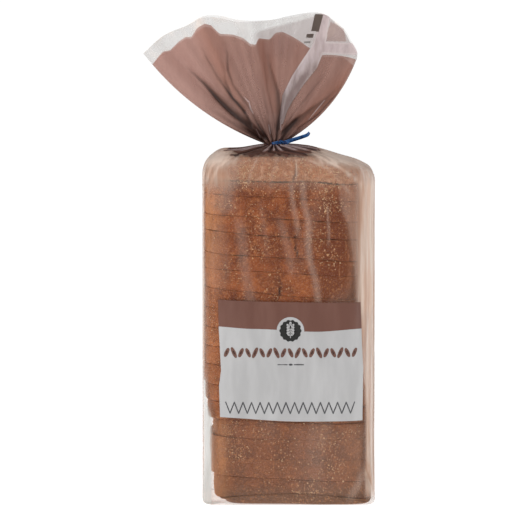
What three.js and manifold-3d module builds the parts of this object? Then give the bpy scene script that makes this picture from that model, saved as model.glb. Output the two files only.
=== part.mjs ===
// A sliced loaf standing on its heel in a clear bread bag. The bag is gathered above the loaf,
// held by a twist tie, and its loose tail fans out above the tie. Millimetres, +Z up.
// The label side faces -Y, and the origin is the middle of the flat base.
import * as THREE from "three";
import { mergeVertices } from "three/addons/utils/BufferGeometryUtils.js";
import Module from "manifold-3d";

// Filled part of the bag
const HALF_WIDTH = 59.7;
const FRONT_DEPTH = 56;
const BACK_DEPTH = 53;
const FRONT_POWER = 4.2; // how square the crowned front of the section is
const BACK_POWER = 6; // the flatter back has tighter corners
const EDGE_HEIGHT = 225; // where the sides turn into the shoulder
const TOP_HEIGHT = 243.2; // film just below the tie
const SIDE_ROUNDNESS = 4; // the film's top corner is loose at the two sides
const FRONT_ROUNDNESS = 9; // and tight over the heel's front and back edges
const SHOULDER_FULLNESS = 0.45;
const RIGHT_DROP = 5; // the shoulder falls away towards +X
const BASE_RADIUS = 3;
const BODY_SIDES = 56;

// Slices that show through the film
const SLICES = 18;
const TOP_HEEL = 17;
const BASE_HEEL = 14;
const UNEVEN = 0.14; // how much the slices differ in thickness
const TILT = THREE.MathUtils.degToRad(3.6); // the slices lean down towards +X
const GROOVE_DEPTH = 1.4;
const GROOVE_REACH = 1.7; // from the cut to the full width of a slice
const SLIP = 0.8; // how far a slice sits back from the film

// Gathered neck and pleats
const NECK_X = -10.2;
const NECK_RADIUS = 5.6;
const NECK_FOOT = 236;
const FLARE_HEIGHT = 249;
const PLEATS = 14;
const PLEAT_DEPTH = 1.6;

// Loose tail: the mouth's outline as seen from the front, x and z from its left tip to its right tip
const MOUTH = [
  [-100, 307.7],
  [-87.4, 319.8],
  [-65.6, 330.2],
  [-53.6, 334.5],
  [-28.3, 330.7],
  [5, 334.5],
  [22.6, 336],
  [36.7, 328.1],
  [47.7, 306.9],
];
const MOUTH_DEPTH = 29; // half of the mouth, front to back
const TAIL_BOW = 15; // how far the tail's two edges bulge from straight
const RUFFLE = 5;
const FILM_WALL = 1.5;
const CAVITY_FOOT = 0.3; // share of the tail's length that is bunched solid
const TAIL_SIDES = 78;

// Printed label, drawn as fields of colour on one thin skin
const LABEL_LEFT = -47.8;
const LABEL_RIGHT = 49.8;
const LABEL_FOOT = 59;
const LABEL_SPLIT = 121;
const LABEL_TOP = 140;
const SKIN_GAP = 0.3;
const SKIN_THICKNESS = 0.5;
const SKIN_REACH = 54;
const SEAL_X = 1;
const SEAL_RADIUS = 7.2;
const SEAL_RIM = 9.2;
const SEAL_SCALLOPS = 14;
const SEAL_SCALLOP_DEPTH = 0.35;

// Twist tie
const TIE_HEIGHT = 246.2;
const TIE_WIDTH = 4.2;
const TIE_INNER = 6;
const TIE_THICKNESS = 1;
const TIE_END_WIDTH = 3;
const KNOT_WIDTH = 3.2;
const KNOT_THICKNESS = 2.2;
const TIE_CORNER_SIDES = 8;

const clamp01 = (t) => Math.min(1, Math.max(0, t));
const mix = (a, b, t) => a + (b - a) * t;

function smooth(low, high, value) {
  const t = clamp01((value - low) / (high - low));
  return t * t * (3 - 2 * t);
}

const wasm = await Module();
wasm.setup();

// A closed geometry as a solid that can be joined and cut.
function toSolid(geometry) {
  const bare = geometry.clone();
  bare.deleteAttribute("normal");
  bare.deleteAttribute("uv");
  const merged = mergeVertices(bare, 1e-4);
  return new wasm.Manifold(
    new wasm.Mesh({
      numProp: 3,
      vertProperties: merged.attributes.position.array,
      triVerts: new Uint32Array(merged.index.array),
    }),
  );
}

// A joined or cut solid as a geometry again.
function toGeometry(solid) {
  const mesh = solid.getMesh();
  const geometry = new THREE.BufferGeometry();
  geometry.setAttribute("position", new THREE.BufferAttribute(mesh.vertProperties, mesh.numProp));
  geometry.setIndex(new THREE.BufferAttribute(mesh.triVerts, 1));
  geometry.computeVertexNormals();
  return geometry;
}

// A closed skin over rings of points that run anticlockwise round the path, with a pole at each end.
// From ring flipAfter on, the quads split along the other diagonal, so that a wall's two faces match.
function closedRings(rings, firstPole, lastPole, flipAfter = Infinity) {
  const sides = rings[0].length;
  const points = [...rings.flat(), firstPole, lastPole];
  const first = points.length - 2;
  const last = points.length - 1;
  const index = [];
  for (let side = 0; side < sides; side++) {
    const next = (side + 1) % sides;
    index.push(first, next, side);
    for (let ring = 0; ring + 1 < rings.length; ring++) {
      const [a, b] = [ring * sides + side, ring * sides + next];
      const [d, c] = [a + sides, b + sides];
      if (ring < flipAfter) index.push(a, b, c, a, c, d);
      else index.push(a, b, d, b, c, d);
    }
    const top = (rings.length - 1) * sides;
    index.push(last, top + side, top + next);
  }
  const geometry = new THREE.BufferGeometry();
  geometry.setFromPoints(points);
  geometry.setIndex(index);
  return geometry;
}

// The direction of each side of the body's rings. The steps are finer at the four corners.
function bodyAngle(side) {
  const even = (2 * Math.PI * side) / BODY_SIDES;
  return even + 0.12 * Math.sin(4 * even);
}

// Reach of the film from the axis: a superellipse, crowned at the front and flatter at the back.
function filmRadius(angle) {
  const front = Math.sin(angle) < 0;
  const depth = front ? FRONT_DEPTH : BACK_DEPTH;
  const power = front ? FRONT_POWER : BACK_POWER;
  const sum =
    Math.abs(Math.cos(angle) / HALF_WIDTH) ** power + Math.abs(Math.sin(angle) / depth) ** power;
  return sum ** (-1 / power);
}

// Heights of the cuts between slices, from the base to the top. The slices differ a little.
function cutHeights() {
  const top = EDGE_HEIGHT + BASE_HEEL - 1;
  const inner = SLICES - 2;
  const weights = Array.from({ length: inner }, (_, k) => 1 + UNEVEN * Math.sin(2.6 * k + 0.8));
  const total = weights.reduce((sum, weight) => sum + weight, 0);
  const room = top - BASE_HEEL - TOP_HEEL;
  const cuts = [BASE_HEEL];
  for (const weight of weights) cuts.push(cuts.at(-1) + (room * weight) / total);
  return cuts;
}

// How closely the film hugs the bread, from 0 to 1. It stands off at the right, at the lower left
// and under the label, where the printed film is stiff.
function hug(x, y, z) {
  const rightSlack = 0.9 * smooth(34, 54, x);
  const lowerLeftSlack = 0.9 * smooth(-40, -54, x) * smooth(78, 58, z);
  const onLabel = y < 0 && x > LABEL_LEFT - 3 && x < LABEL_RIGHT + 3;
  const labelSlack = onLabel ? 0.8 * smooth(52, 60, z) * smooth(148, 138, z) : 0;
  return 1 - Math.max(rightSlack, lowerLeftSlack, labelSlack);
}

// How much lower the top of the loaf lies on its right.
function sag(x) {
  return RIGHT_DROP * smooth(12, 48, x);
}

// One ring round the body at a height. The cut's tilt fades out towards the flat base.
function bodyRing(height, inset, slice) {
  const lean = Math.tan(TILT) * smooth(0, BASE_HEEL, height) * mix(1, 0.3, smooth(180, 225, height));
  const ring = [];
  for (let side = 0; side < BODY_SIDES; side++) {
    const angle = bodyAngle(side);
    const full = filmRadius(angle);
    const [x, y] = [full * Math.cos(angle), full * Math.sin(angle)];
    const z = height - x * lean - sag(x) * 0.6 * smooth(190, 225, height);
    const slip = slice < 0 ? 0 : SLIP * (0.5 + 0.5 * Math.sin(angle - 1.9 * slice));
    const radius = full - (inset + slip) * (slice < 0 ? 1 : hug(x, y, z));
    ring.push(new THREE.Vector3(radius * Math.cos(angle), radius * Math.sin(angle), z));
  }
  return ring;
}

// The shoulder at a share of the section's size, 1 at the sides and 0 under the tie. Its pleats
// run into the neck.
function shoulderRing(share) {
  const ring = [];
  const gather = smooth(1, 0.55, share);
  const cone = 1.6 * smooth(0.7, 0.1, share);
  for (let side = 0; side < BODY_SIDES; side++) {
    const angle = bodyAngle(side);
    const roundness = mix(SIDE_ROUNDNESS, FRONT_ROUNDNESS, Math.sin(angle) ** 2);
    const rise = (1 - share ** roundness) ** SHOULDER_FULLNESS;
    const radius = filmRadius(angle) * share;
    const x = NECK_X * gather + radius * Math.cos(angle);
    const lean = x * Math.tan(TILT) * 0.3 * smooth(0.8, 1, share);
    const drop = sag(x) * mix(1, 0.6, smooth(0.9, 1, share));
    const fold = 0.5 - 0.5 * Math.cos((2 * Math.PI * PLEATS * side) / BODY_SIDES);
    const pleat = PLEAT_DEPTH * fold * gather * smooth(0.05, 0.25, share);
    const z = mix(EDGE_HEIGHT, TOP_HEIGHT - 1.6, rise) + cone - lean - drop - pleat;
    ring.push(new THREE.Vector3(x, radius * Math.sin(angle), z));
  }
  return ring;
}

// The loaf inside its film, up to just under the tie.
function bodySolid() {
  const rings = [
    bodyRing(0, BASE_RADIUS, -1),
    bodyRing(BASE_RADIUS * 0.3, BASE_RADIUS * 0.3, -1),
    bodyRing(BASE_RADIUS, 0, -1),
  ];
  const cuts = cutHeights();
  cuts.forEach((cut, slice) => {
    rings.push(bodyRing(cut - GROOVE_REACH, 0, slice));
    rings.push(bodyRing(cut, GROOVE_DEPTH, slice));
    rings.push(bodyRing(cut + GROOVE_REACH, 0, slice + 1));
  });
  for (const share of [1, 0.975, 0.93, 0.86, 0.76, 0.64, 0.5, 0.36, 0.24, 0.15]) {
    rings.push(shoulderRing(share));
  }
  const top = new THREE.Vector3(NECK_X, 0, TOP_HEIGHT);
  return toSolid(closedRings(rings, new THREE.Vector3(0, 0, 0), top));
}

const mouthLine = new THREE.CatmullRomCurve3(
  MOUTH.map(([x, z]) => new THREE.Vector3(x, 0, z)),
  false,
  "centripetal",
);

// Front-to-back ruffles of the tail at the mouth. The front and the back layer differ.
function ruffle(angle) {
  const across = (1 + Math.cos(angle)) / 2;
  const wave =
    Math.sin(angle) < 0
      ? 0.62 * Math.sin(29.5 * across + 2.2) + 0.38 * Math.sin(52 * across + 1.1)
      : 0.7 * Math.sin(24 * across + 0.6) + 0.3 * Math.sin(47 * across + 2.4);
  return RUFFLE * wave * Math.sqrt(Math.abs(Math.sin(angle)));
}

// A point of the tail's film: angle runs round the tube, and rise goes from 0 at the tie to 1 at
// the mouth. Each line of film is a quadratic curve from the neck, through a bend, to the mouth.
function tailPoint(angle, rise) {
  const across = Math.cos(angle);
  const root = new THREE.Vector3(
    NECK_X + NECK_RADIUS * across,
    NECK_RADIUS * Math.sin(angle),
    FLARE_HEIGHT,
  );
  const tip = mouthLine.getPointAt((1 + across) / 2);
  tip.y = MOUTH_DEPTH * Math.sin(angle) + ruffle(angle);
  const side = Math.sign(across) || 1;
  const outward = new THREE.Vector3(side * (tip.z - root.z), 0, side * (root.x - tip.x));
  const bend = root.clone().lerp(tip, 0.5);
  bend.addScaledVector(outward.normalize(), TAIL_BOW * across * across);
  bend.y = 0.42 * tip.y;
  return new THREE.QuadraticBezierCurve3(root, bend, tip).getPoint(rise);
}

// The same point on the inner face of the wall: the film's normal comes from its two tangents.
function innerTailPoint(angle, rise) {
  const step = 0.01;
  const round = tailPoint(angle + step, rise).sub(tailPoint(angle - step, rise));
  const up = tailPoint(angle, Math.min(1, rise + step)).sub(tailPoint(angle, rise - step));
  return tailPoint(angle, rise).addScaledVector(round.cross(up).normalize(), -FILM_WALL);
}

// The neck and the open, ruffled tail above it.
function tailSolid() {
  const angles = Array.from({ length: TAIL_SIDES }, (_, k) => (2 * Math.PI * k) / TAIL_SIDES);
  const foot = angles.map((angle) => tailPoint(angle, 0).setZ(NECK_FOOT));
  const outerRises = [0, 0.06, 0.13, 0.22, 0.32, 0.44, 0.56, 0.68, 0.79, 0.9, 1];
  const innerRises = [1, 0.9, 0.79, 0.68, 0.56, 0.44, 0.36, CAVITY_FOOT];
  const rings = [foot];
  for (const rise of outerRises) rings.push(angles.map((angle) => tailPoint(angle, rise)));
  const flipAfter = rings.length;
  for (const rise of innerRises) rings.push(angles.map((angle) => innerTailPoint(angle, rise)));
  const lowest = rings.at(-1);
  const pole = lowest.reduce((sum, point) => sum.add(point), new THREE.Vector3());
  pole.divideScalar(lowest.length);
  return toSolid(closedRings(rings, new THREE.Vector3(NECK_X, 0, NECK_FOOT), pole, flipAfter));
}

// A point on the front of the film at x, moved outwards by offset.
function frontPoint(x, offset) {
  const share = Math.abs(x / HALF_WIDTH) ** FRONT_POWER;
  const y = -FRONT_DEPTH * (1 - share) ** (1 / FRONT_POWER);
  const slopeX = Math.sign(x) * (Math.abs(x / HALF_WIDTH) ** (FRONT_POWER - 1) / HALF_WIDTH);
  const slopeY = -(Math.abs(y / FRONT_DEPTH) ** (FRONT_POWER - 1) / FRONT_DEPTH);
  const normal = new THREE.Vector2(slopeX, slopeY).normalize();
  return new THREE.Vector2(x, y).addScaledVector(normal, offset);
}

// The thin skin that the label is printed on, as tall as the label.
function skinSolid() {
  const steps = 32;
  const xs = Array.from({ length: steps + 1 }, (_, k) => mix(-SKIN_REACH, SKIN_REACH, k / steps));
  const outer = xs.map((x) => frontPoint(x, SKIN_GAP + SKIN_THICKNESS));
  const inner = xs.map((x) => frontPoint(x, SKIN_GAP));
  const shape = new THREE.Shape([...outer, ...inner.reverse()]);
  const height = LABEL_TOP - LABEL_FOOT;
  const skin = new THREE.ExtrudeGeometry(shape, { depth: height, bevelEnabled: false });
  return toSolid(skin.translate(0, 0, LABEL_FOOT));
}

// One field of the label: its outline in x and z, cut from the skin.
function labelField(skin, shape) {
  const depth = 50;
  const stamp = new THREE.ExtrudeGeometry(shape, { depth, bevelEnabled: false, curveSegments: 12 });
  stamp.rotateX(Math.PI / 2).translate(0, -SKIN_GAP, 0);
  return toGeometry(skin.intersect(toSolid(stamp.translate(0, depth - FRONT_DEPTH - 20, 0))));
}

function bandShape() {
  const foot = LABEL_SPLIT + SKIN_GAP;
  const arc = SEAL_RIM + SKIN_GAP;
  const shape = new THREE.Shape();
  shape.moveTo(LABEL_LEFT, foot);
  shape.lineTo(SEAL_X - arc, foot);
  shape.absarc(SEAL_X, foot, arc, Math.PI, 0, true);
  shape.lineTo(LABEL_RIGHT, foot);
  shape.lineTo(LABEL_RIGHT, LABEL_TOP);
  shape.lineTo(LABEL_LEFT, LABEL_TOP);
  return shape;
}

function panelShape() {
  const shape = new THREE.Shape();
  shape.moveTo(LABEL_LEFT, LABEL_FOOT);
  shape.lineTo(LABEL_RIGHT, LABEL_FOOT);
  shape.lineTo(LABEL_RIGHT, LABEL_SPLIT);
  shape.lineTo(SEAL_X + SEAL_RIM, LABEL_SPLIT);
  shape.absarc(SEAL_X, LABEL_SPLIT, SEAL_RIM, 0, Math.PI, false);
  shape.lineTo(LABEL_LEFT, LABEL_SPLIT);
  shape.holes.push(new THREE.Path(sealOutline(SEAL_RADIUS + SKIN_GAP)));
  return shape;
}

// A scalloped round seal.
function sealOutline(radius) {
  const steps = 4 * SEAL_SCALLOPS;
  return Array.from({ length: steps }, (_, k) => {
    const angle = (2 * Math.PI * k) / steps;
    const reach = radius + SEAL_SCALLOP_DEPTH * Math.cos(SEAL_SCALLOPS * angle);
    return new THREE.Vector2(SEAL_X + reach * Math.cos(angle), LABEL_SPLIT + reach * Math.sin(angle));
  });
}

// A strip swept along a curve, which is given from the middle of the tie. Its oval section rolls
// about the curve and can narrow at the tip.
function strip(points, width, thickness, rolls, tip) {
  const middle = new THREE.Vector3(NECK_X, 0, TIE_HEIGHT);
  const curve = new THREE.CatmullRomCurve3(
    points.map((point) => new THREE.Vector3(...point).add(middle)),
  );
  const steps = 5 * (points.length - 1);
  const rings = [];
  for (let step = 0; step <= steps; step++) {
    const t = step / steps;
    const tangent = curve.getTangentAt(t);
    const across = new THREE.Vector3(0, 0, 1).cross(tangent).normalize();
    const upright = tangent.clone().cross(across);
    const roll = mix(rolls[0], rolls[1], t);
    const taper = mix(1, tip, smooth(0.75, 1, t));
    const ring = [];
    for (let corner = 0; corner < TIE_CORNER_SIDES; corner++) {
      const angle = (2 * Math.PI * corner) / TIE_CORNER_SIDES;
      const [u, v] = [
        (thickness / 2) * taper * Math.cos(angle),
        (width / 2) * taper * Math.sin(angle),
      ];
      const a = u * Math.cos(roll) - v * Math.sin(roll);
      const b = u * Math.sin(roll) + v * Math.cos(roll);
      ring.push(curve.getPointAt(t).addScaledVector(across, a).addScaledVector(upright, b));
    }
    rings.push(ring);
  }
  return toSolid(closedRings(rings, curve.getPointAt(0), curve.getPointAt(1)));
}

// The tie: a band round the neck, a twist at the front right, a long end and a short one.
function tieGeometry() {
  const outer = TIE_INNER + TIE_THICKNESS;
  const [low, high] = [TIE_HEIGHT - TIE_WIDTH / 2, TIE_HEIGHT + TIE_WIDTH / 2];
  const crest = outer + 0.35;
  const profile = [
    [TIE_INNER, low],
    [outer, low],
    [crest, TIE_HEIGHT],
    [outer, high],
    [TIE_INNER, high],
    [TIE_INNER, low],
  ].map(([r, z]) => new THREE.Vector2(r, z));
  const band = new THREE.LatheGeometry(profile, 36).rotateX(Math.PI / 2).translate(NECK_X, 0, 0);
  const knot = [
    [4.6, -6.4, -0.4],
    [7, -7, 0],
    [9.6, -7.4, 0.7],
  ];
  const longEnd = [
    [7.8, -7, 0.2],
    [13, -7.8, 2],
    [19, -8, 3.9],
    [24.4, -7.4, 6.9],
  ];
  const shortEnd = [
    [7.8, -7, 0.2],
    [10.8, -3.6, 0.6],
    [11.2, 2.4, 1.3],
    [7.6, 9.2, 1.8],
  ];
  return toGeometry(
    toSolid(band)
      .add(strip(knot, KNOT_WIDTH, KNOT_THICKNESS, [0, 1.5 * Math.PI], 1))
      .add(strip(longEnd, TIE_END_WIDTH, TIE_THICKNESS, [0.5, 0.1], 0.7))
      .add(strip(shortEnd, TIE_END_WIDTH, TIE_THICKNESS, [-0.4, 0.2], 0.7)),
  );
}

function piece(name, geometry, color, roughness) {
  const mesh = new THREE.Mesh(
    geometry,
    new THREE.MeshStandardMaterial({ color, roughness, metalness: 0 }),
  );
  mesh.name = name;
  return mesh;
}

const skin = skinSolid();
const loaf = new THREE.Group();
loaf.add(piece("bag", toGeometry(bodySolid().add(tailSolid())), 0xa26e54, 0.35));
loaf.add(piece("label_band", labelField(skin, bandShape()), 0x735147, 0.4));
loaf.add(piece("label_panel", labelField(skin, panelShape()), 0xbdbbb9, 0.4));
loaf.add(
  piece("label_seal", labelField(skin, new THREE.Shape(sealOutline(SEAL_RADIUS))), 0x1c1b19, 0.4),
);
loaf.add(piece("twist_tie", tieGeometry(), 0x1f3f86, 0.45));

export default loaf;
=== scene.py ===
import logging
import math
from dataclasses import dataclass
from enum import Enum
from typing import Any, Callable

import bpy
import numpy as np
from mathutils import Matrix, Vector


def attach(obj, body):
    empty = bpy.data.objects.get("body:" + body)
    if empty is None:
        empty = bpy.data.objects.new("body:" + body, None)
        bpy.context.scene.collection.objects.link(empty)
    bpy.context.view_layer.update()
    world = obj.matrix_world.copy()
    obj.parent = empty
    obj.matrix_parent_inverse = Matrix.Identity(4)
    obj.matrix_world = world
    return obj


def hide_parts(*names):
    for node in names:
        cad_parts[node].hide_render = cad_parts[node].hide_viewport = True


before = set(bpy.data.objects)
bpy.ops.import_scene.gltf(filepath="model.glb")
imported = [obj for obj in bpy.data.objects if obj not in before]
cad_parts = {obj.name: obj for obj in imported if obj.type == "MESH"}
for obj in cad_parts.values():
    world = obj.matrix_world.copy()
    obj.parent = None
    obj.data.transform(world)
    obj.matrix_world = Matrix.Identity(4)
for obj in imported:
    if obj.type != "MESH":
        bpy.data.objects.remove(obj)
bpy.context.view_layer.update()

# A sliced loaf in a clear bread bag. Shapes are worked out in millimetres in the part's frame,
# with the label towards -Y and +Z up along the loaf, and go into the meshes in metres.

log = logging.getLogger("bread_bag")
MM = 0.001
Array = np.ndarray
Socket = bpy.types.NodeSocket
Triple = tuple[float, float, float]
Colour = tuple[float, float, float, float]
Knots = tuple[tuple[float, float], ...]
Edge = Callable[[Array], Array]


# Shapes shared by the film, the bread and the print

HALF_WIDTH = 59.7
FRONT_DEPTH = 56.0
BACK_DEPTH = 53.0
FRONT_POWER = 4.2
BACK_POWER = 6.0
FOOT_POWER = 9.0
EDGE_HEIGHT = 225.0
TOP_HEIGHT = 243.2
RIGHT_DROP = 5.0
NECK_X = -10.2
NECK_RADIUS = 5.6
FLARE_HEIGHT = 249.0
SHOULDER_LEAN = 0.3 * math.tan(math.radians(3.6))
TURN = 2 * np.pi


class Slot(Enum):
    """The record's material slots."""

    FILM = "film_and_bread"
    BROWN = "brown_print"
    PALE = "pale_print"
    DARK = "dark_print"
    TIE = "blue_tie"


def smooth(low: float, high: float, value: Array) -> Array:
    """Rise gently from 0 at low to 1 at high, by 3t^2 - 2t^3."""
    t = np.clip((value - low) / (high - low), 0.0, 1.0)
    return t * t * (3.0 - 2.0 * t)


def between(start: float, full: float, fade: float, end: float, value: Array) -> Array:
    """Rise gently from 0 at start to 1 at full, then fall from 1 at fade to 0 at end."""
    return smooth(start, full, value) * smooth(end, fade, value)


def bell(value: Array, middle: Array | float, width: float, power: float = 2.0) -> Array:
    """A bump of height 1: e to the minus of the distance from the middle, in widths, to a power."""
    return np.exp(-(np.abs((value - middle) / width) ** power))


def waves(points: Array, length: float, seed: int, count: int = 22) -> Array:
    """Soft noise: a sum of sines in random directions over positions.

    Args:
        points: Positions, in millimetres, along the last axis.
        length: The usual wavelength, in millimetres.
        seed: Fixes the directions and phases.
        count: How many sines are summed.

    Returns:
        Values of about -1 to 1.
    """
    rng = np.random.default_rng(seed)
    directions = rng.normal(size=(count, points.shape[-1]))
    directions /= np.linalg.norm(directions, axis=1, keepdims=True)
    pitch = length * rng.uniform(0.7, 1.5, count)
    phase = rng.uniform(0, TURN, count)
    total = np.zeros(points.shape[:-1])
    for direction, size, start in zip(directions, pitch, phase):
        total += np.sin(points @ (direction * TURN / size) + start)
    return total / math.sqrt(count) * 0.9


def spline(knots: Array, count: int) -> Array:
    """A smooth cubic path through knots, with count points from each knot to the next.

    Between two knots it is the cubic whose slope at each knot is half the step between the knot's
    two neighbours.

    Args:
        knots: Places that the path goes through.
        count: Points to a span.

    Returns:
        Points along the path, ending at the last knot.
    """
    ends = np.vstack([2 * knots[0] - knots[1], knots, 2 * knots[-1] - knots[-2]])
    t = np.linspace(0, 1, count, endpoint=False)[:, None]
    spans = []
    for a, b, c, d in zip(ends, ends[1:], ends[2:], ends[3:]):
        square, cube = (2 * a - 5 * b + 4 * c - d) * t**2, (3 * b - a - 3 * c + d) * t**3
        spans.append(0.5 * (2 * b + (c - a) * t + square + cube))
    return np.vstack([*spans, knots[-1:]])


def eased_line(knots: Knots, share: Array) -> Array:
    """A smooth line through knots of place and value, which eases from each to the next."""
    places, values = np.array(knots).T
    slot = np.clip(np.searchsorted(places, share, side="right") - 1, 0, len(places) - 2)
    t = np.clip((share - places[slot]) / (places[slot + 1] - places[slot]), 0, 1)
    return values[slot] + (values[slot + 1] - values[slot]) * t * t * (3 - 2 * t)


def triangle(turns: Array) -> Array:
    """A triangle wave: 1 at whole turns and 0 halfway between them."""
    return np.abs((turns % 1.0) - 0.5) * 2


def corner_angles(count: int) -> Array:
    """Directions round the bag, closer together at its four corners: t + 0.12 sin 4t."""
    even = np.arange(count) * TURN / count
    return even + 0.12 * np.sin(4 * even)


def section_reach(
    angle: Array, width: float, front: float, back: float, powers: tuple[float, float]
) -> Array:
    """Reach of a superellipse that is crowned in front and flatter behind.

    The sum of |cos/width|^n and |sin/depth|^n, to the power -1/n.

    Args:
        angle: Directions, in radians, with the front at -90 degrees.
        width: Half width.
        front: Depth of the front half.
        back: Depth of the back half.
        powers: The exponents n of the front and of the back.

    Returns:
        The distance from the axis in each direction.
    """
    ahead = np.sin(angle) < 0
    depth = np.where(ahead, front, back)
    power = np.where(ahead, powers[0], powers[1])
    total = np.abs(np.cos(angle) / width) ** power + np.abs(np.sin(angle) / depth) ** power
    return total ** (-1 / power)


def film_reach(angle: Array, square: Array | float = 0.0) -> Array:
    """Reach of the taut film from the bag's axis. The share square makes its corners boxy."""
    crowned = section_reach(angle, HALF_WIDTH, FRONT_DEPTH, BACK_DEPTH, (FRONT_POWER, BACK_POWER))
    boxy = section_reach(angle, HALF_WIDTH, FRONT_DEPTH, BACK_DEPTH, (FOOT_POWER, FOOT_POWER))
    return crowned + (boxy - crowned) * square


def sag(x: Array) -> Array:
    """How much lower the top of the loaf lies towards +X."""
    return RIGHT_DROP * smooth(12, 48, x)


def film_folds(angle: Array, z: Array) -> Array:
    """Radial wrinkles of the filled bag.

    Upright ripples run down the slack right side and the lower left corner, and a few shallow
    ones cross the front. Each is a sine of the angle whose phase drifts with height.

    Args:
        angle: Directions, in radians.
        z: Heights, in millimetres.

    Returns:
        How far the film moves out, in millimetres.
    """
    x = film_reach(angle) * np.cos(angle)
    front = np.sin(angle) < 0
    drift = 0.5 * np.sin(z / 31.0) + 0.35 * np.sin(z / 13.0 + 1.0)
    slack = smooth(44, 56, x) * between(2, 20, 205, 228, z)
    loose = smooth(-50, -57, x) * between(0, 12, 50, 78, z)
    ripple = np.sin(46 * angle + 1.6 * drift) + 0.5 * np.sin(83 * angle - 2.1 * drift + 1.0)
    calm = 0.12 * np.sin(19 * angle + drift) + 0.07 * np.sin(41 * angle + 2 * drift)
    crease = 0.35 * front * bell(x, 44 + 0.2 * (z - 20), 2.2) * between(0, 8, 22, 40, z)
    return -0.25 * slack * (1.2 + ripple) - 0.1 * loose * (1 + ripple) + calm + crease


def film_wall(angle: Array, z: Array, out: float = 0.0) -> Array:
    """Points on the upright wall of the film, moved outwards by out. The foot is folded square."""
    reach = film_reach(angle, smooth(34, 4, z)) + film_folds(angle, z) + out
    return np.stack([reach * np.cos(angle), reach * np.sin(angle), z + 0 * angle], -1)


def film_front(x: Array, z: Array, out: float) -> Array:
    """Points on the front of the film above given x and z.

    The superellipse gives y for x, and the angle of that point gives the wrinkled wall.

    Args:
        x: Places across the front, in millimetres.
        z: Heights, in millimetres.
        out: Distance off the film, in millimetres.

    Returns:
        The points, in millimetres.
    """
    share = np.clip(np.abs(x / HALF_WIDTH), 0, 0.9999) ** FRONT_POWER
    y = -FRONT_DEPTH * (1 - share) ** (1 / FRONT_POWER)
    return film_wall(np.arctan2(y, x), z, out)


# Mesh building

def add_mesh(
    name: str, points: Array, faces: Array, shades: dict[str, Array] | None = None
) -> bpy.types.Object:
    """Make an object at the origin from points in millimetres and faces.

    Args:
        name: The piece's name.
        points: Vertex positions, in millimetres.
        faces: Vertex numbers, three or four to a row. A row whose last two are equal is a triangle.
        shades: Named numbers, one to a vertex, that materials read.

    Returns:
        The new object.
    """
    mesh = bpy.data.meshes.new(name)
    flat = np.asarray(points, float).reshape(-1, 3) * MM
    quads = np.asarray(faces, np.int64)
    rows = [tuple(row[:3]) if row[-1] == row[-2] else tuple(row) for row in quads.tolist()]
    mesh.from_pydata(flat.tolist(), [], rows)
    for label, values in (shades or {}).items():
        mesh.attributes.new(label, "FLOAT", "POINT").data.foreach_set(
            "value", np.asarray(values, np.float32).ravel()
        )
    mesh.polygons.foreach_set("use_smooth", np.ones(len(rows), bool))
    mesh.update()
    obj = bpy.data.objects.new(name, mesh)
    bpy.context.scene.collection.objects.link(obj)
    return obj


def grid_faces(rows: int, columns: int, closed: bool, start: int = 0) -> Array:
    """Quads of a grid whose columns run anticlockwise and whose rows rise, so that they face out."""
    spans = columns if closed else columns - 1
    row, column = np.meshgrid(np.arange(rows - 1), np.arange(spans), indexing="ij")
    here, beside = row * columns + column, row * columns + (column + 1) % columns
    return np.stack([here, beside, beside + columns, here + columns], -1).reshape(-1, 4) + start


def pole_faces(start: int, columns: int, pole: int, upward: bool) -> Array:
    """Triangles from a ring of points to its pole, facing up or down."""
    side = np.arange(columns)
    ring = [start + side, start + (side + 1) % columns]
    return np.stack([*(ring if upward else ring[::-1]), *[np.full(columns, pole)] * 2], -1)


def closed_faces(rows: int, columns: int) -> Array:
    """Faces of a closed skin: a ring grid, then its first and its last pole as the last points."""
    low = pole_faces(0, columns, rows * columns, False)
    high = pole_faces((rows - 1) * columns, columns, rows * columns + 1, True)
    return np.concatenate([grid_faces(rows, columns, True), low, high])


def paint(obj: bpy.types.Object, finishes: list[bpy.types.Material]) -> bpy.types.Object:
    """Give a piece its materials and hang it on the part's body."""
    for finish in finishes:
        obj.data.materials.append(finish)
    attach(obj, "root")
    return obj


# Materials

def srgb(red: int, green: int, blue: int) -> Colour:
    """A screen colour of 0 to 255 as linear light."""
    parts = [c / 255 for c in (red, green, blue)]
    line = [c / 12.92 if c <= 0.04045 else ((c + 0.055) / 1.055) ** 2.4 for c in parts]
    return (line[0], line[1], line[2], 1.0)


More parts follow.
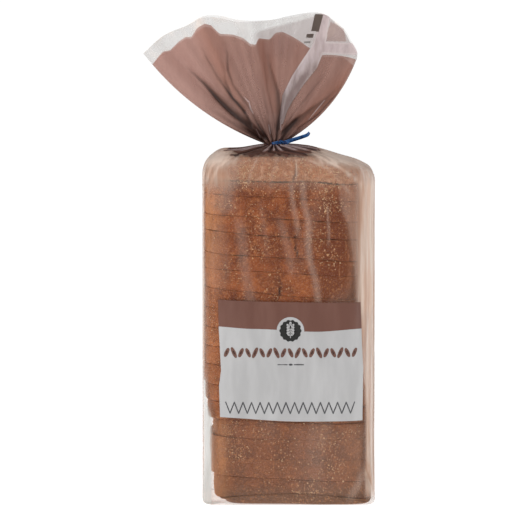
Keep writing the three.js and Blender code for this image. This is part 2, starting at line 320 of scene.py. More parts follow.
class Value:
    """A number that flows through a material, so that shader maths reads as an expression."""

    def __init__(self, bench: "Bench", socket: Socket) -> None:
        """Wrap a socket of the bench's material."""
        self.bench = bench
        self.socket = socket

    def maths(self, operation: str, *others: Any) -> "Value":
        """Add a Math node that starts from this value."""
        inputs = dict(enumerate((self, *others)))
        node = self.bench.node("ShaderNodeMath", {"operation": operation}, inputs)
        return Value(self.bench, node.outputs[0])

    def __add__(self, other: Any) -> "Value":
        """This plus other."""
        return self.maths("ADD", other)

    def __radd__(self, other: Any) -> "Value":
        """Other plus this."""
        return self.maths("ADD", other)

    def __sub__(self, other: Any) -> "Value":
        """This minus other."""
        return self.maths("SUBTRACT", other)

    def __rsub__(self, other: float) -> "Value":
        """Other minus this."""
        return self.maths("MULTIPLY_ADD", -1.0, other)

    def __mul__(self, other: Any) -> "Value":
        """This times other."""
        return self.maths("MULTIPLY", other)

    def __rmul__(self, other: Any) -> "Value":
        """Other times this."""
        return self.maths("MULTIPLY", other)

    def size(self) -> "Value":
        """This without its sign."""
        return self.maths("ABSOLUTE")

    def least(self, other: Any) -> "Value":
        """The smaller of this and other."""
        return self.maths("MINIMUM", other)

    def most(self, other: Any) -> "Value":
        """The larger of this and other."""
        return self.maths("MAXIMUM", other)

    def eased(self, low: float, high: float) -> "Value":
        """Rise gently from 0 at low to 1 at high."""
        inputs = {"Value": self, "From Min": low, "From Max": high, "To Min": 0.0, "To Max": 1.0}
        settings = {"interpolation_type": "SMOOTHSTEP"}
        return Value(self.bench, self.bench.node("ShaderNodeMapRange", settings, inputs).outputs[0])


class Bench:
    """A material being made: one method adds any node, and a few name the usual ones."""

    def __init__(self, name: str) -> None:
        """Start an empty material with an output."""
        self.material = bpy.data.materials.new(name)
        self.material.use_nodes = True
        self.tree = self.material.node_tree
        self.tree.nodes.clear()
        self.output = self.node("ShaderNodeOutputMaterial")
        self.place = self.node("ShaderNodeTexCoord").outputs["Object"]

    def node(
        self, kind: str, settings: dict[str, Any] | None = None, inputs: dict[Any, Any] | None = None
    ) -> Any:
        """Add a node, set it up, then fill or link its sockets.

        Args:
            kind: The node's type.
            settings: Its own properties.
            inputs: Its sockets by name or number: a value, a Value or another node's socket.

        Returns:
            The new node.
        """
        node = self.tree.nodes.new(kind)
        for key, value in (settings or {}).items():
            setattr(node, key, value)
        for key, value in (inputs or {}).items():
            socket = node.inputs[key]
            source = value.socket if isinstance(value, Value) else value
            if isinstance(source, Socket):
                self.tree.links.new(source, socket)
            else:
                socket.default_value = source
        return node

    def shade(self, name: str) -> Value:
        """A number that the mesh carries at its vertices."""
        return Value(self, self.node("ShaderNodeAttribute", {"attribute_name": name}).outputs["Fac"])

    def axis(self, letter: str) -> Value:
        """One of the object coordinates, in metres."""
        return Value(self, self.node("ShaderNodeSeparateXYZ", {}, {0: self.place}).outputs[letter])

    def stretched(self, scale: Triple) -> Socket:
        """Object coordinates scaled by axis."""
        node = self.node("ShaderNodeMapping", {}, {"Vector": self.place, "Scale": scale})
        return node.outputs[0]

    def noise(self, scale: float, detail: float = 3.0, rough: float = 0.55, place: Any = None) -> Value:
        """Soft noise of 0 to 1 over the object coordinates."""
        inputs = {"Vector": place or self.place, "Scale": scale, "Detail": detail, "Roughness": rough}
        return Value(self, self.node("ShaderNodeTexNoise", {}, inputs).outputs[0])

    def cells(self, scale: float) -> Value:
        """Distance to the nearest point of a scatter of cells."""
        inputs = {"Vector": self.place, "Scale": scale}
        return Value(self, self.node("ShaderNodeTexVoronoi", {}, inputs).outputs["Distance"])

    def blend(self, share: Any, first: Any, second: Any) -> Socket:
        """Mix two colours by share."""
        inputs = {0: share, 6: first, 7: second}
        return self.node("ShaderNodeMix", {"data_type": "RGBA"}, inputs).outputs[2]

    def bump(self, height: Value, depth_mm: float, strength: float = 1.0) -> Socket:
        """A normal that a height pattern tilts."""
        inputs = {"Height": height, "Distance": depth_mm * MM, "Strength": strength}
        return self.node("ShaderNodeBump", {}, inputs).outputs[0]

    def solid(self, **inputs: Any) -> Socket:
        """A Principled shader. Underscores in the names stand for spaces."""
        named = {key.replace("_", " "): value for key, value in inputs.items()}
        return self.node("ShaderNodeBsdfPrincipled", {}, named).outputs[0]

    def layered(self, share: Any, first: Any, second: Any) -> Socket:
        """A Mix Shader of two shaders."""
        return self.node("ShaderNodeMixShader", {}, {0: share, 1: first, 2: second}).outputs[0]

    def clear(self, tint: Colour) -> Socket:
        """A Transparent shader."""
        return self.node("ShaderNodeBsdfTransparent", {}, {"Color": tint}).outputs[0]

    def done(self, shader: Socket) -> bpy.types.Material:
        """Connect the finished shader and hand over the material."""
        self.tree.links.new(shader, self.output.inputs["Surface"])
        return self.material


@dataclass(frozen=True)
class CrustFinish:
    """Baked crust: brown on the crown, paler at the sides, with fine grain, dark freckles and painted shade
    in the crown's splits.
    """

    crown: Colour = srgb(150, 80, 42)
    toasted: Colour = srgb(112, 56, 30)
    amber: Colour = srgb(178, 104, 56)
    side: Colour = srgb(214, 146, 96)
    base: Colour = srgb(130, 74, 46)
    torn: Colour = srgb(206, 148, 104)
    # Painted shade in the splits of the crown.
    split: Colour = srgb(62, 36, 26)
    dull: Colour = srgb(110, 80, 60)
    meal: Colour = srgb(220, 172, 142)

    def material(self) -> bpy.types.Material:
        """Build the crust material."""
        b = Bench("crust")
        x, y = b.axis("X"), b.axis("Y")
        blotch = b.noise(85, 4, 0.65)
        patch = b.noise(230, 3, 0.6)
        grain = b.noise(620, 3, 0.65)
        skin = b.blend(blotch.eased(0.36, 0.62), self.toasted, self.crown)
        skin = b.blend(patch.eased(0.5, 0.68) * 0.32, skin, self.amber)
        skin = b.blend(patch.eased(0.46, 0.32) * 0.25, skin, self.toasted)
        edge = (x + 0.003).size().eased(0.036, 0.058)
        z = b.axis("Z")
        edge = edge * (0.5 + 0.4 * blotch) * (0.5 + 0.5 * z.eased(0.14, 0.18))
        skin = b.blend(edge, skin, self.side)
        skin = b.blend(y.eased(0.035, 0.052) * 0.7, skin, self.base)
        baked = x.eased(0.012, 0.026) * x.eased(0.046, 0.034) * z.eased(0.125, 0.15) * z.eased(0.222, 0.205)
        skin = b.blend(baked, skin, self.toasted)
        low = z.eased(0.078, 0.045) * 0.42 + z.eased(0.016, 0.006) * 0.4
        skin = b.blend(low * x.eased(-0.054, -0.044), skin, self.dull)
        corner = z.eased(0.064, 0.054) * x.eased(-0.038, -0.05)
        skin = b.blend(corner * (0.35 + 0.65 * patch), skin, self.side)
        tone = b.shade("tone")
        skin = b.blend(tone.eased(0.5, 1.0) * 0.4, skin, self.side)
        mealy = b.noise(300, 3, 0.7)
        heel = tone.eased(0.8, 0.88)
        skin = b.blend(heel * mealy.eased(0.5, 0.64) * 0.6, skin, self.meal)
        skin = b.blend(heel * mealy.eased(0.46, 0.34) * 0.6, skin, self.crown)
        skin = b.blend(tone.eased(0.5, 0.0) * 0.4, skin, self.toasted)
        freckle = b.cells(430).eased(0.34, 0.14) * b.noise(140, 2).eased(0.46, 0.62)
        skin = b.blend(freckle * 0.5, skin, self.toasted)
        skin = b.blend(grain.eased(0.52, 0.68) * 0.4, skin, self.side)
        skin = b.blend(grain.eased(0.46, 0.32) * 0.4, skin, self.toasted)
        rim = b.shade("rim")
        skin = b.blend(rim * (0.25 + 0.6 * b.noise(420, 2)), skin, self.torn)
        # Dark line in the splits, which are also pressed in: painted shade in the cracks.
        skin = b.blend(b.shade("split"), skin, self.split)
        height = grain * 0.8 + blotch * 0.4 + b.cells(700).eased(0.0, 0.5) * 0.4
        return b.done(
            b.solid(
                Base_Color=skin,
                Roughness=0.55 + 0.2 * grain,
                Specular_IOR_Level=0.25,
                Normal=b.bump(height, 0.5, 1.0),
            )
        )


@dataclass(frozen=True)
class CrumbFinish:
    """The cut face of a slice: soft brown crumb with open pores, which are darker with painted shade."""

    crumb: Colour = srgb(186, 141, 104)
    # Darker colour in the pores: painted shade in the holes.
    pore_shade: Colour = srgb(120, 78, 52)

    def material(self) -> bpy.types.Material:
        """Build the crumb material."""
        b = Bench("crumb")
        pores = b.cells(420).eased(0.1, 0.42)
        soft = b.noise(260, 4, 0.65)
        # Painted shade deepens towards the middle of the holes.
        colour = b.blend(pores * (0.6 + 0.4 * soft), self.pore_shade, self.crumb)
        return b.done(
            b.solid(
                Base_Color=colour,
                Roughness=0.85 + 0.1 * soft,
                Specular_IOR_Level=0.15,
                Normal=b.bump(pores * 0.8 + soft, 0.6, 1.0),
            )
        )


@dataclass(frozen=True)
class BranFinish:
    """Pale flakes of bran and flour on the crust."""

    flake: Colour = srgb(226, 186, 144)
    husk: Colour = srgb(190, 132, 86)

    def material(self) -> bpy.types.Material:
        """Build the bran material."""
        b = Bench("bran")
        mixed = b.noise(500, 2)
        colour = b.blend(mixed.eased(0.4, 0.65), self.flake, self.husk)
        return b.done(
            b.solid(Base_Color=colour, Roughness=0.6 + 0.2 * mixed, Normal=b.bump(b.noise(2500, 2), 0.1, 0.6))
        )


@dataclass(frozen=True)
class FilmFinish:
    """Thin clear film with milkiness and painted highlights in its folds, and translucent brown ink where it
    is printed.
    """

    name: str
    tint: float = 0.95
    haze_and_sheen: Colour = srgb(208, 178, 160)
    slack: Colour = srgb(210, 170, 145)
    bright: Colour = srgb(224, 208, 194)
    grey: Colour = srgb(192, 190, 184)
    # Warmer brown on the ridges of folds: painted light.
    ink: Colour = srgb(140, 98, 84)
    # Dark brown of overlapping print, also used for painted shade in creases and pleats.
    lit_ridge: Colour = srgb(156, 88, 56)
    deep: Colour = srgb(52, 28, 20)
    streaked: Colour = srgb(166, 128, 114)
    paler_left: Colour = srgb(196, 156, 146)
    crest_highlight: Colour = srgb(244, 222, 206)
    # Near white for the top of the shoulder: a painted highlight.
    ink_tint: Colour = (0.76, 0.60, 0.56, 1.0)
    ink_cover: float = 0.46
    veil: Colour = srgb(204, 184, 185)
    veil_shade: Colour = srgb(116, 90, 86)
    veil_rim: Colour = srgb(206, 192, 190)

    def material(self) -> bpy.types.Material:
        """Build the film material."""
        b = Bench(self.name)
        streaks = b.noise(34, 3, 0.6, b.stretched((6.0, 6.0, 0.5)))
        ripple = b.noise(120, 3, 0.6, b.stretched((3.0, 3.0, 0.6)))
        facing = Value(b, b.node("ShaderNodeLayerWeight", {}, {"Blend": 0.25}).outputs["Facing"])
        milk_and_sheen = b.shade("haze_and_sheen")
        normal = b.bump(ripple * 0.7 + streaks * 0.5, 0.5, 0.5)
        inked = b.shade("ink").eased(-0.25, 0.25)
        body = b.layered(
            inked,
            self.bare(b, milk_and_sheen, streaks, ripple, facing, normal),
            self.printed(b, streaks, ripple, normal),
        )
        body = self.veiled(b, body, streaks, ripple, normal)
        gloss = b.solid(Base_Color=(1, 1, 1, 1), Metallic=1.0, Roughness=0.13 + 0.1 * ripple, Normal=normal)
        shine = (0.006 + facing.eased(0.35, 1.0) * 0.14) * (1 - inked * 0.75)
        return b.done(b.layered(shine, body, gloss))

    def bare(
        self, b: Bench, milk_and_sheen: Value, streaks: Value, ripple: Value, facing: Value, normal: Socket
    ) -> Socket:
        """Clear film that turns milky in its hazier places and its painted highlights, warmer over the bread,
        grey at the loose foot and near white along the shoulder's top, where a highlight is painted.
        """
        cover = (0.004 + milk_and_sheen * (0.6 + 0.8 * streaks) + facing.eased(0.4, 1.0) * 0.3).least(0.88).most(0.0)
        slack = b.blend(streaks.eased(0.35, 0.8), self.slack, self.bright)
        # Near white along the top of the shoulder: a painted highlight.
        crest_highlight = b.axis("Z").eased(0.228, 0.238) * (b.axis("X") + 0.01).size().eased(0.02, 0.04)
        slack = b.blend(crest_highlight * 0.85, slack, self.crest_highlight)
        lower_left = b.axis("X").eased(0.0, -0.03) * b.axis("Z").eased(0.1, 0.085)
        slack = b.blend(lower_left, slack, self.grey)
        pale = b.blend(milk_and_sheen.eased(0.25, 0.5), self.haze_and_sheen, slack)
        milky = b.solid(Base_Color=pale, Roughness=0.4 + 0.2 * ripple, Normal=normal)
        return b.layered(cover, b.clear((self.tint, self.tint, self.tint * 0.995, 1.0)), milky)

    def printed(self, b: Bench, streaks: Value, ripple: Value, normal: Socket) -> Socket:
        """Translucent ink, which darkens where layers overlap and with painted shade in creases and pleats,
        and turns warmer with painted light on the ridges of folds.
        """
        overlap_and_shade, lit_ridge_share = b.shade("overlap_and_shade"), b.shade("lit_ridge")
        brown = b.blend(streaks.eased(0.3, 0.7) * 0.4, self.ink, self.streaked)
        # Paler towards the left.
        brown = b.blend(b.axis("X").eased(-0.035, -0.075) * 0.4, brown, self.paler_left)
        # Warmer on the ridges of the folds: painted light.
        brown = b.blend(lit_ridge_share * 0.6, brown, self.lit_ridge)
        # Darker where layers overlap, and with painted shade in creases and pleats.
        brown = b.blend(overlap_and_shade.least(1.0), brown, self.deep)
        ink = b.solid(
            Base_Color=brown, Roughness=0.35 + 0.2 * ripple, Specular_IOR_Level=0.35, Normal=normal
        )
        share = self.ink_cover + overlap_and_shade * 0.62 + lit_ridge_share * 0.28 + (streaks - 0.5) * 0.12
        return b.layered(share.least(0.98).most(0.05), b.clear(self.ink_tint), ink)

    def veiled(self, b: Bench, body: Socket, streaks: Value, ripple: Value, normal: Socket) -> Socket:
        """The film under pale strips, ridges and glints, whose rims are the lightest. The strips are clear
        film; the pale ridges and glints are painted highlights.
        """
        overlap_and_shade, veil = b.shade("overlap_and_shade"), b.shade("veil")
        shaded = (streaks.eased(0.3, 0.7) * 0.4 + overlap_and_shade * 0.9).least(1.0)
        colour = b.blend(shaded, self.veil, self.veil_shade)
        colour = b.blend(veil.eased(1.5, 0.5) * 0.5 * (1 - overlap_and_shade), colour, self.veil_rim)
        strip = b.solid(Base_Color=colour, Roughness=0.45 + 0.1 * ripple, Normal=normal)
        return b.layered(veil.eased(-0.3, 0.3) * (0.72 + 0.22 * overlap_and_shade), body, strip)


@dataclass(frozen=True)
class PrintFinish:
    """Opaque ink on film, with a soft sheen, a trace of wrinkles and their shading painted in paler upright
    streaks.
    """

    name: str
    colour: Colour
    streak_light: Colour
    rough: float = 0.34

    def material(self) -> bpy.types.Material:
        """Build the print material."""
        b = Bench(self.name)
        streaks = b.noise(30, 3, 0.55, b.stretched((3.0, 3.0, 0.7)))
        fine = b.noise(1400, 2)
        # Paler upright streaks: painted shading of the film's wrinkles.
        colour = b.blend(streaks.eased(0.35, 0.75) * 0.6, self.colour, self.streak_light)
        normal = b.bump(streaks + fine * 0.05, 0.4, 0.35)
        return b.done(
            b.solid(
                Base_Color=colour,
                Roughness=self.rough + 0.12 * fine,
                Specular_IOR_Level=0.3,
                Coat_Weight=0.05 + 0.1 * streaks,
                Coat_Roughness=0.2,
                Normal=normal,
            )
        )


@dataclass(frozen=True)
class TieFinish:
    """Blue plastic ribbon with a slight grain along it, and its shaded deep blue painted in soft random
    patches.
    """

    blue: Colour = srgb(44, 108, 176)
    # The ribbon's blue in shade, painted in patches.
    deep: Colour = srgb(12, 42, 92)

    def material(self) -> bpy.types.Material:
        """Build the ribbon material."""
        b = Bench("tie_ribbon")
        fine = b.noise(900, 3)
        shade_patches = b.noise(260, 2)
        # Deep blue in soft random patches: painted shade on the ribbon. The same noise varies the coat.
        colour = b.blend(shade_patches.eased(0.35, 0.7), self.blue, self.deep)
        return b.done(
            b.solid(
                Base_Color=colour,
                Roughness=0.3 + 0.2 * fine,
                Coat_Weight=0.2 + 0.2 * shade_patches,
                Normal=b.bump(fine, 0.08, 0.5),
            )
        )


@dataclass(frozen=True)
class FloorFinish:
    """Plain white studio floor."""

    def material(self) -> bpy.types.Material:
        """Build the floor material."""
        b = Bench("studio_floor")
        grain = b.noise(3, 2)
        colour = b.blend(grain * 0.1, (0.80, 0.80, 0.80, 1), (0.78, 0.78, 0.78, 1))
        return b.done(
            b.solid(
                Base_Color=colour,
                Roughness=0.9 + 0.05 * grain,
                Specular_IOR_Level=0.0,
                Emission_Color=(1.0, 1.0, 1.0, 1.0),
                Emission_Strength=0.86,
            )
        )


# The bread

@dataclass
class Loaf:
    """The sliced loaf: its cuts from top to bottom, and where its two sides lie at each height."""

    cut_heights: tuple[float, ...] = (
        222.5, 211.4, 196.9, 184.8, 170.2, 159.9, 144.6, 131.7, 118.7,
        105.9, 92.9, 79.9, 68.9, 57.4, 45.7, 31.8, 18.0, 7.6,
    )
    cut_tilts: tuple[float, ...] = (
        1.2, 3.0, 3.1, 3.9, 3.7, 3.0, 4.7, 4.0, 3.6, 3.6, 3.4, 3.2, 2.8, 1.8, 0.8, 1.6, 2.6, 0.6,
    )
    openness: tuple[float, ...] = (
        1, 0.7, 1.2, 1.0, 1.3, 0.5, 1.1, 0.7, 1.3, 0.9, 1.1, 0.8, 1.0, 0.7, 0.2, 0.05, 1.0, 1.3,
    )
    top: float = 240.6
    side_heights: tuple[float, ...] = (0, 7, 12, 24, 38, 51, 63, 74, 86, 97, 240)
    left_sides: tuple[float, ...] = (
        -46, -49.5, -52.0, -54.2, -54.6, -52.0, -56.2, -58.0, -59.0, -59.2, -59.2,
    )
    right_sides: tuple[float, ...] = (57.2, 57.2, 57.2, 57.0, 56.8, 56.4, 55.6, 54.0, 52.8, 51.8, 51.6)
    splits: tuple[Triple, ...] = ((3.9, 221, 237), (8.2, 188, 198), (4.9, 166, 188), (-6.6, 140, 158))
    split_depth: float = 1.2
    front: float = 54.9
    back: float = 51.7
    edge_round: float = 0.7
    cap_shares: tuple[float, ...] = (0.06, 0.25, 0.45, 0.62, 0.76, 0.87, 0.94)
    wall_shares: tuple[float, ...] = (0.12, 0.25, 0.38, 0.5, 0.62, 0.75, 0.88)
    around: int = 380
    seed: int = 11

    def cut(self, number: int, x: Array) -> Array:
        """Height of a cut over x. It leans down towards +X, and the lowest is arched."""
        lean = math.tan(math.radians(self.cut_tilts[number]))
        plane = self.cut_heights[number] - lean * x - sag(x) * 0.35 * (number < 1)
        wobble = 0.5 * np.sin(x / 17.0 + 1.7 * number) + 0.25 * np.sin(x / 6.5 + 2.9 * number)
        if number == len(self.cut_heights) - 1:
            return plane + 0.4 - 4.4 * (np.clip(x - 2, -50, 50) / 48.0) ** 2
        return plane + wobble * 0.6

    def gap(self, number: int, x: Array, y: Array) -> Array:
        """Width of a cut, which nearly closes in places. The one under the top heel is torn open."""
        spots = np.stack([x, y], -1)
        soft = smooth(-0.6, 1.0, waves(spots, 22.0, 60 + number))
        if number == 0:
            return 0.35 + 0.55 * soft + 0.35 * np.clip(waves(spots, 4.0, 90), -0.6, 2)
        return 0.02 + 0.34 * soft**2.0 * self.openness[number]

    def crack(self, points: Array) -> Array:
        """Share of the splits that wander down the crown of the upper slices, from 0 to 1."""
        x, y, z = points[..., 0], points[..., 1], points[..., 2]
        total = np.zeros(x.shape)
        for place, low, high in self.splits:
            wander = place + 0.7 * np.sin(z / 2.9 + place) + 0.35 * np.sin(z / 1.1 + 1)
            deep = 0.75 + 0.35 * np.sin(z / 1.9 + 2 * place)
            total += deep * between(low, low + 3, high - 3, high, z) * bell(x, wander, 0.8)
        return total * (y < 0)

    def opening(self, number: int) -> float:
        """How open a cut is, from 0 to 1. The outer faces of the two heels count as open."""
        return min(1.0, self.openness[number]) if 0 <= number < len(self.openness) else 1.0

    def ring_plan(self, is_heel: bool) -> Array:
        """Where each ring of a slice lies, from its upper face over its wall to its lower face.

        Args:
            is_heel: Whether the slice is a heel, whose rims are rounder and have more rings.

        Returns:
            Four columns of numbers, one to a ring: the share of the section, the inset and the rise
            over the rounded rim, and the place through the slice from 0 to 1.
        """
        steps = np.linspace(0, np.pi / 2, 9 if is_heel else 6)
        rows = [(c, 1.0, 0.0, 0.0) for c in self.cap_shares]
        rows += [(1.0, 1 - math.sin(s), 1 - math.cos(s), 0.0) for s in steps]
        rows += [(1.0, 0.0, 1.0, t) for t in self.wall_shares]
        rows += [(1.0, 1 - math.sin(s), 1 - math.cos(s), 1.0) for s in steps[::-1]]
        rows += [(c, 1.0, 0.0, 1.0) for c in self.cap_shares[::-1]]
        return np.array(rows).T[:, :, None]

    def rounding(self, number: int, angle: Array) -> tuple[Array, Array]:
        """Radius of a slice's upper and lower rim by direction, large on the heels' outer faces."""
        c = np.cos(angle)
        upper, lower = (
            self.edge_round * (0.35 + 0.65 * self.opening(cut)) + 0 * angle for cut in (number - 1, number)
        )
        if number == 0:
            upper = 5.0 + np.where(c < 0, 8.5 * smooth(-0.15, -0.85, c), 7.5 * c**4)
        if number == len(self.cut_heights):
            lower = 1.6 + 2.4 * smooth(0.4, -0.2, c)
        return upper, lower

    def section(self, number: int, angle: Array, t: Array) -> tuple[float, Array]:
        """Middle and reach of one slice's section, which differs a little from slice to slice."""
        rng = np.random.default_rng(self.seed + number)
        heel_top, heel_base = number == 0, number == len(self.cut_heights)
        nominal = (self.level(number, True) + self.level(number, False)) / 2
        left = np.interp(nominal, self.side_heights, self.left_sides) + rng.uniform(0.0, 0.4)
        right = np.interp(nominal, self.side_heights, self.right_sides) + rng.uniform(-0.7, 0.2)
        left = left + 1.1 * heel_top
        front = self.front - rng.uniform(0.0, 0.9) - 1.0 * heel_top
        back = self.back - rng.uniform(0.0, 0.8)
        powers = (6.5 if heel_base else 4.1, 5.6)
        reach = section_reach(angle, (right - left) / 2, front, back, powers)
        if heel_base:
            reach = reach - 3.0 * smooth(0.2, 1.0, t) * smooth(0.2, -0.9, np.cos(angle))
        return (left + right) / 2, reach

    def face_heights(self, number: int, x: Array, y: Array) -> tuple[Array, Array]:
        """Heights of a slice's upper and lower face. The top heel is domed, and torn underneath."""
        spots = np.stack([x, y], -1)
        if number == 0:
            dome = 1.2 * smooth(20, 55, np.hypot(x, y)) + 0.8 * smooth(-20, -50, x)
            high = self.top - sag(x) - 0.012 * (x + 4) - dome
        else:
            high = self.cut(number - 1, x) - self.gap(number - 1, x, y) / 2
        if number == len(self.cut_heights):
            return high, 0.5 + 0 * x
        low = self.cut(number, x) + self.gap(number, x, y) / 2
        if number == 0:
            low = low + 0.3 * waves(spots, 3.2, 91) + 0.25 * waves(spots, 1.8, 92)
        return high, low

    def slice_points(self, number: int) -> tuple[Array, Array, Array]:
        """Rings of one slice, counted from the top heel.

        Each ring is the loaf's section, scaled and set between the slice's two cuts. Its place
        through the slice goes from the middle of the upper face, over the rounded rim, to the
        middle of the lower face. Crust bumps and the crown's split are then pressed in.

        Args:
            number: The slice, from 0 at the top.

        Returns:
            The rings, the shares of torn rim and of split at each point, and the two poles.
        """
        heel_top, heel_base = number == 0, number == len(self.cut_heights)
        angle = corner_angles(self.around)[None, :]
        share, inset, rise, t = self.ring_plan(heel_top or heel_base)
        above, below = self.opening(number - 1), self.opening(number)
        round_top, round_base = self.rounding(number, angle)
        middle, reach = self.section(number, angle, t)
        reach = (reach - inset * np.where(t < 0.5, round_top, round_base)) * share
        x, y = middle + reach * np.cos(angle), reach * np.sin(angle)
        high, low = self.face_heights(number, x, y)
        body_high, body_low = high - round_top, low + round_base
        z = body_high + (body_low - body_high) * t
        z = np.where(t == 0, high - rise * round_top, np.where(t == 1, low + rise * round_base, z))
        points = np.stack([x, y, z], -1)
        wall = share == 1.0
        bumps = 0.16 * waves(points, 9.0, 3) + 0.12 * waves(points, 3.6, 5) + 0.07 * waves(points, 1.9, 8)
        swell = 0.2 - 0.35 * np.where(t < 0.5, above, below) * (1 - np.sin(np.pi * t))
        split = self.crack(points) * wall
        press = (bumps + swell - 0.1) * wall - self.split_depth * split
        direction = np.concatenate([np.cos(angle), np.sin(angle), 0 * angle]).T[None]
        points = points + press[..., None] * direction
        points[..., 2] += 0.12 * waves(points, 2.6, 21 + number) * ~wall
        faces = (t == 0) * above * (not heel_top) + (t == 1) * below * (not heel_base)
        torn = faces * smooth(0.25, 1.0, inset) * wall
        marks = np.stack([torn * np.ones_like(x), split], -1)
        return points, marks, np.stack([points[0].mean(0), points[-1].mean(0)])

    def level(self, number: int, upper: bool) -> float:
        """Height of a slice's upper or lower face at the axis."""
        if upper:
            return self.top if number == 0 else self.cut_heights[number - 1]
        return 0.0 if number == len(self.cut_heights) else self.cut_heights[number]

    def build(self) -> list[bpy.types.Object]:
        """Make every slice."""
        finishes = [CrustFinish().material(), CrumbFinish().material()]
        rng = np.random.default_rng(self.seed)
        made = []
        for number in range(len(self.cut_heights) + 1):
            points, marks, poles = self.slice_points(number)
            rows, columns = points.shape[:2]
            # The rings run down the slice, so the columns are turned round to face the skin outwards.
            points, marks = points[:, ::-1], marks[:, ::-1]
            flat = np.concatenate([points.reshape(-1, 3), poles])
            tone = np.full(len(flat), 0.9 if number == 0 else rng.uniform(0.25, 0.62))
            rim, split = (np.append(marks[..., k].ravel(), [0, 0]) for k in (0, 1))
            shades = {"tone": tone, "rim": rim, "split": split}
            obj = add_mesh(f"slice_{number + 1:02d}", flat, closed_faces(rows, columns), shades)
            self.mark_crumb(obj, number, rows, columns)
            paint(obj, finishes)
            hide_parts("bag")
            made.append(obj)
        return made

    def mark_crumb(self, obj: bpy.types.Object, number: int, rows: int, columns: int) -> None:
        """Give the cut faces the crumb, and leave the outer faces of the two heels as crust."""
        caps = len(self.cap_shares)
        cut_above, cut_below = int(number > 0), int(number < len(self.cut_heights))
        grid = np.zeros((rows - 1, columns), np.int32)
        grid[:caps], grid[-caps:] = cut_above, cut_below
        poles = np.repeat(np.array([cut_above, cut_below], np.int32), columns)
        obj.data.polygons.foreach_set("material_index", np.concatenate([grid.ravel(), poles]))


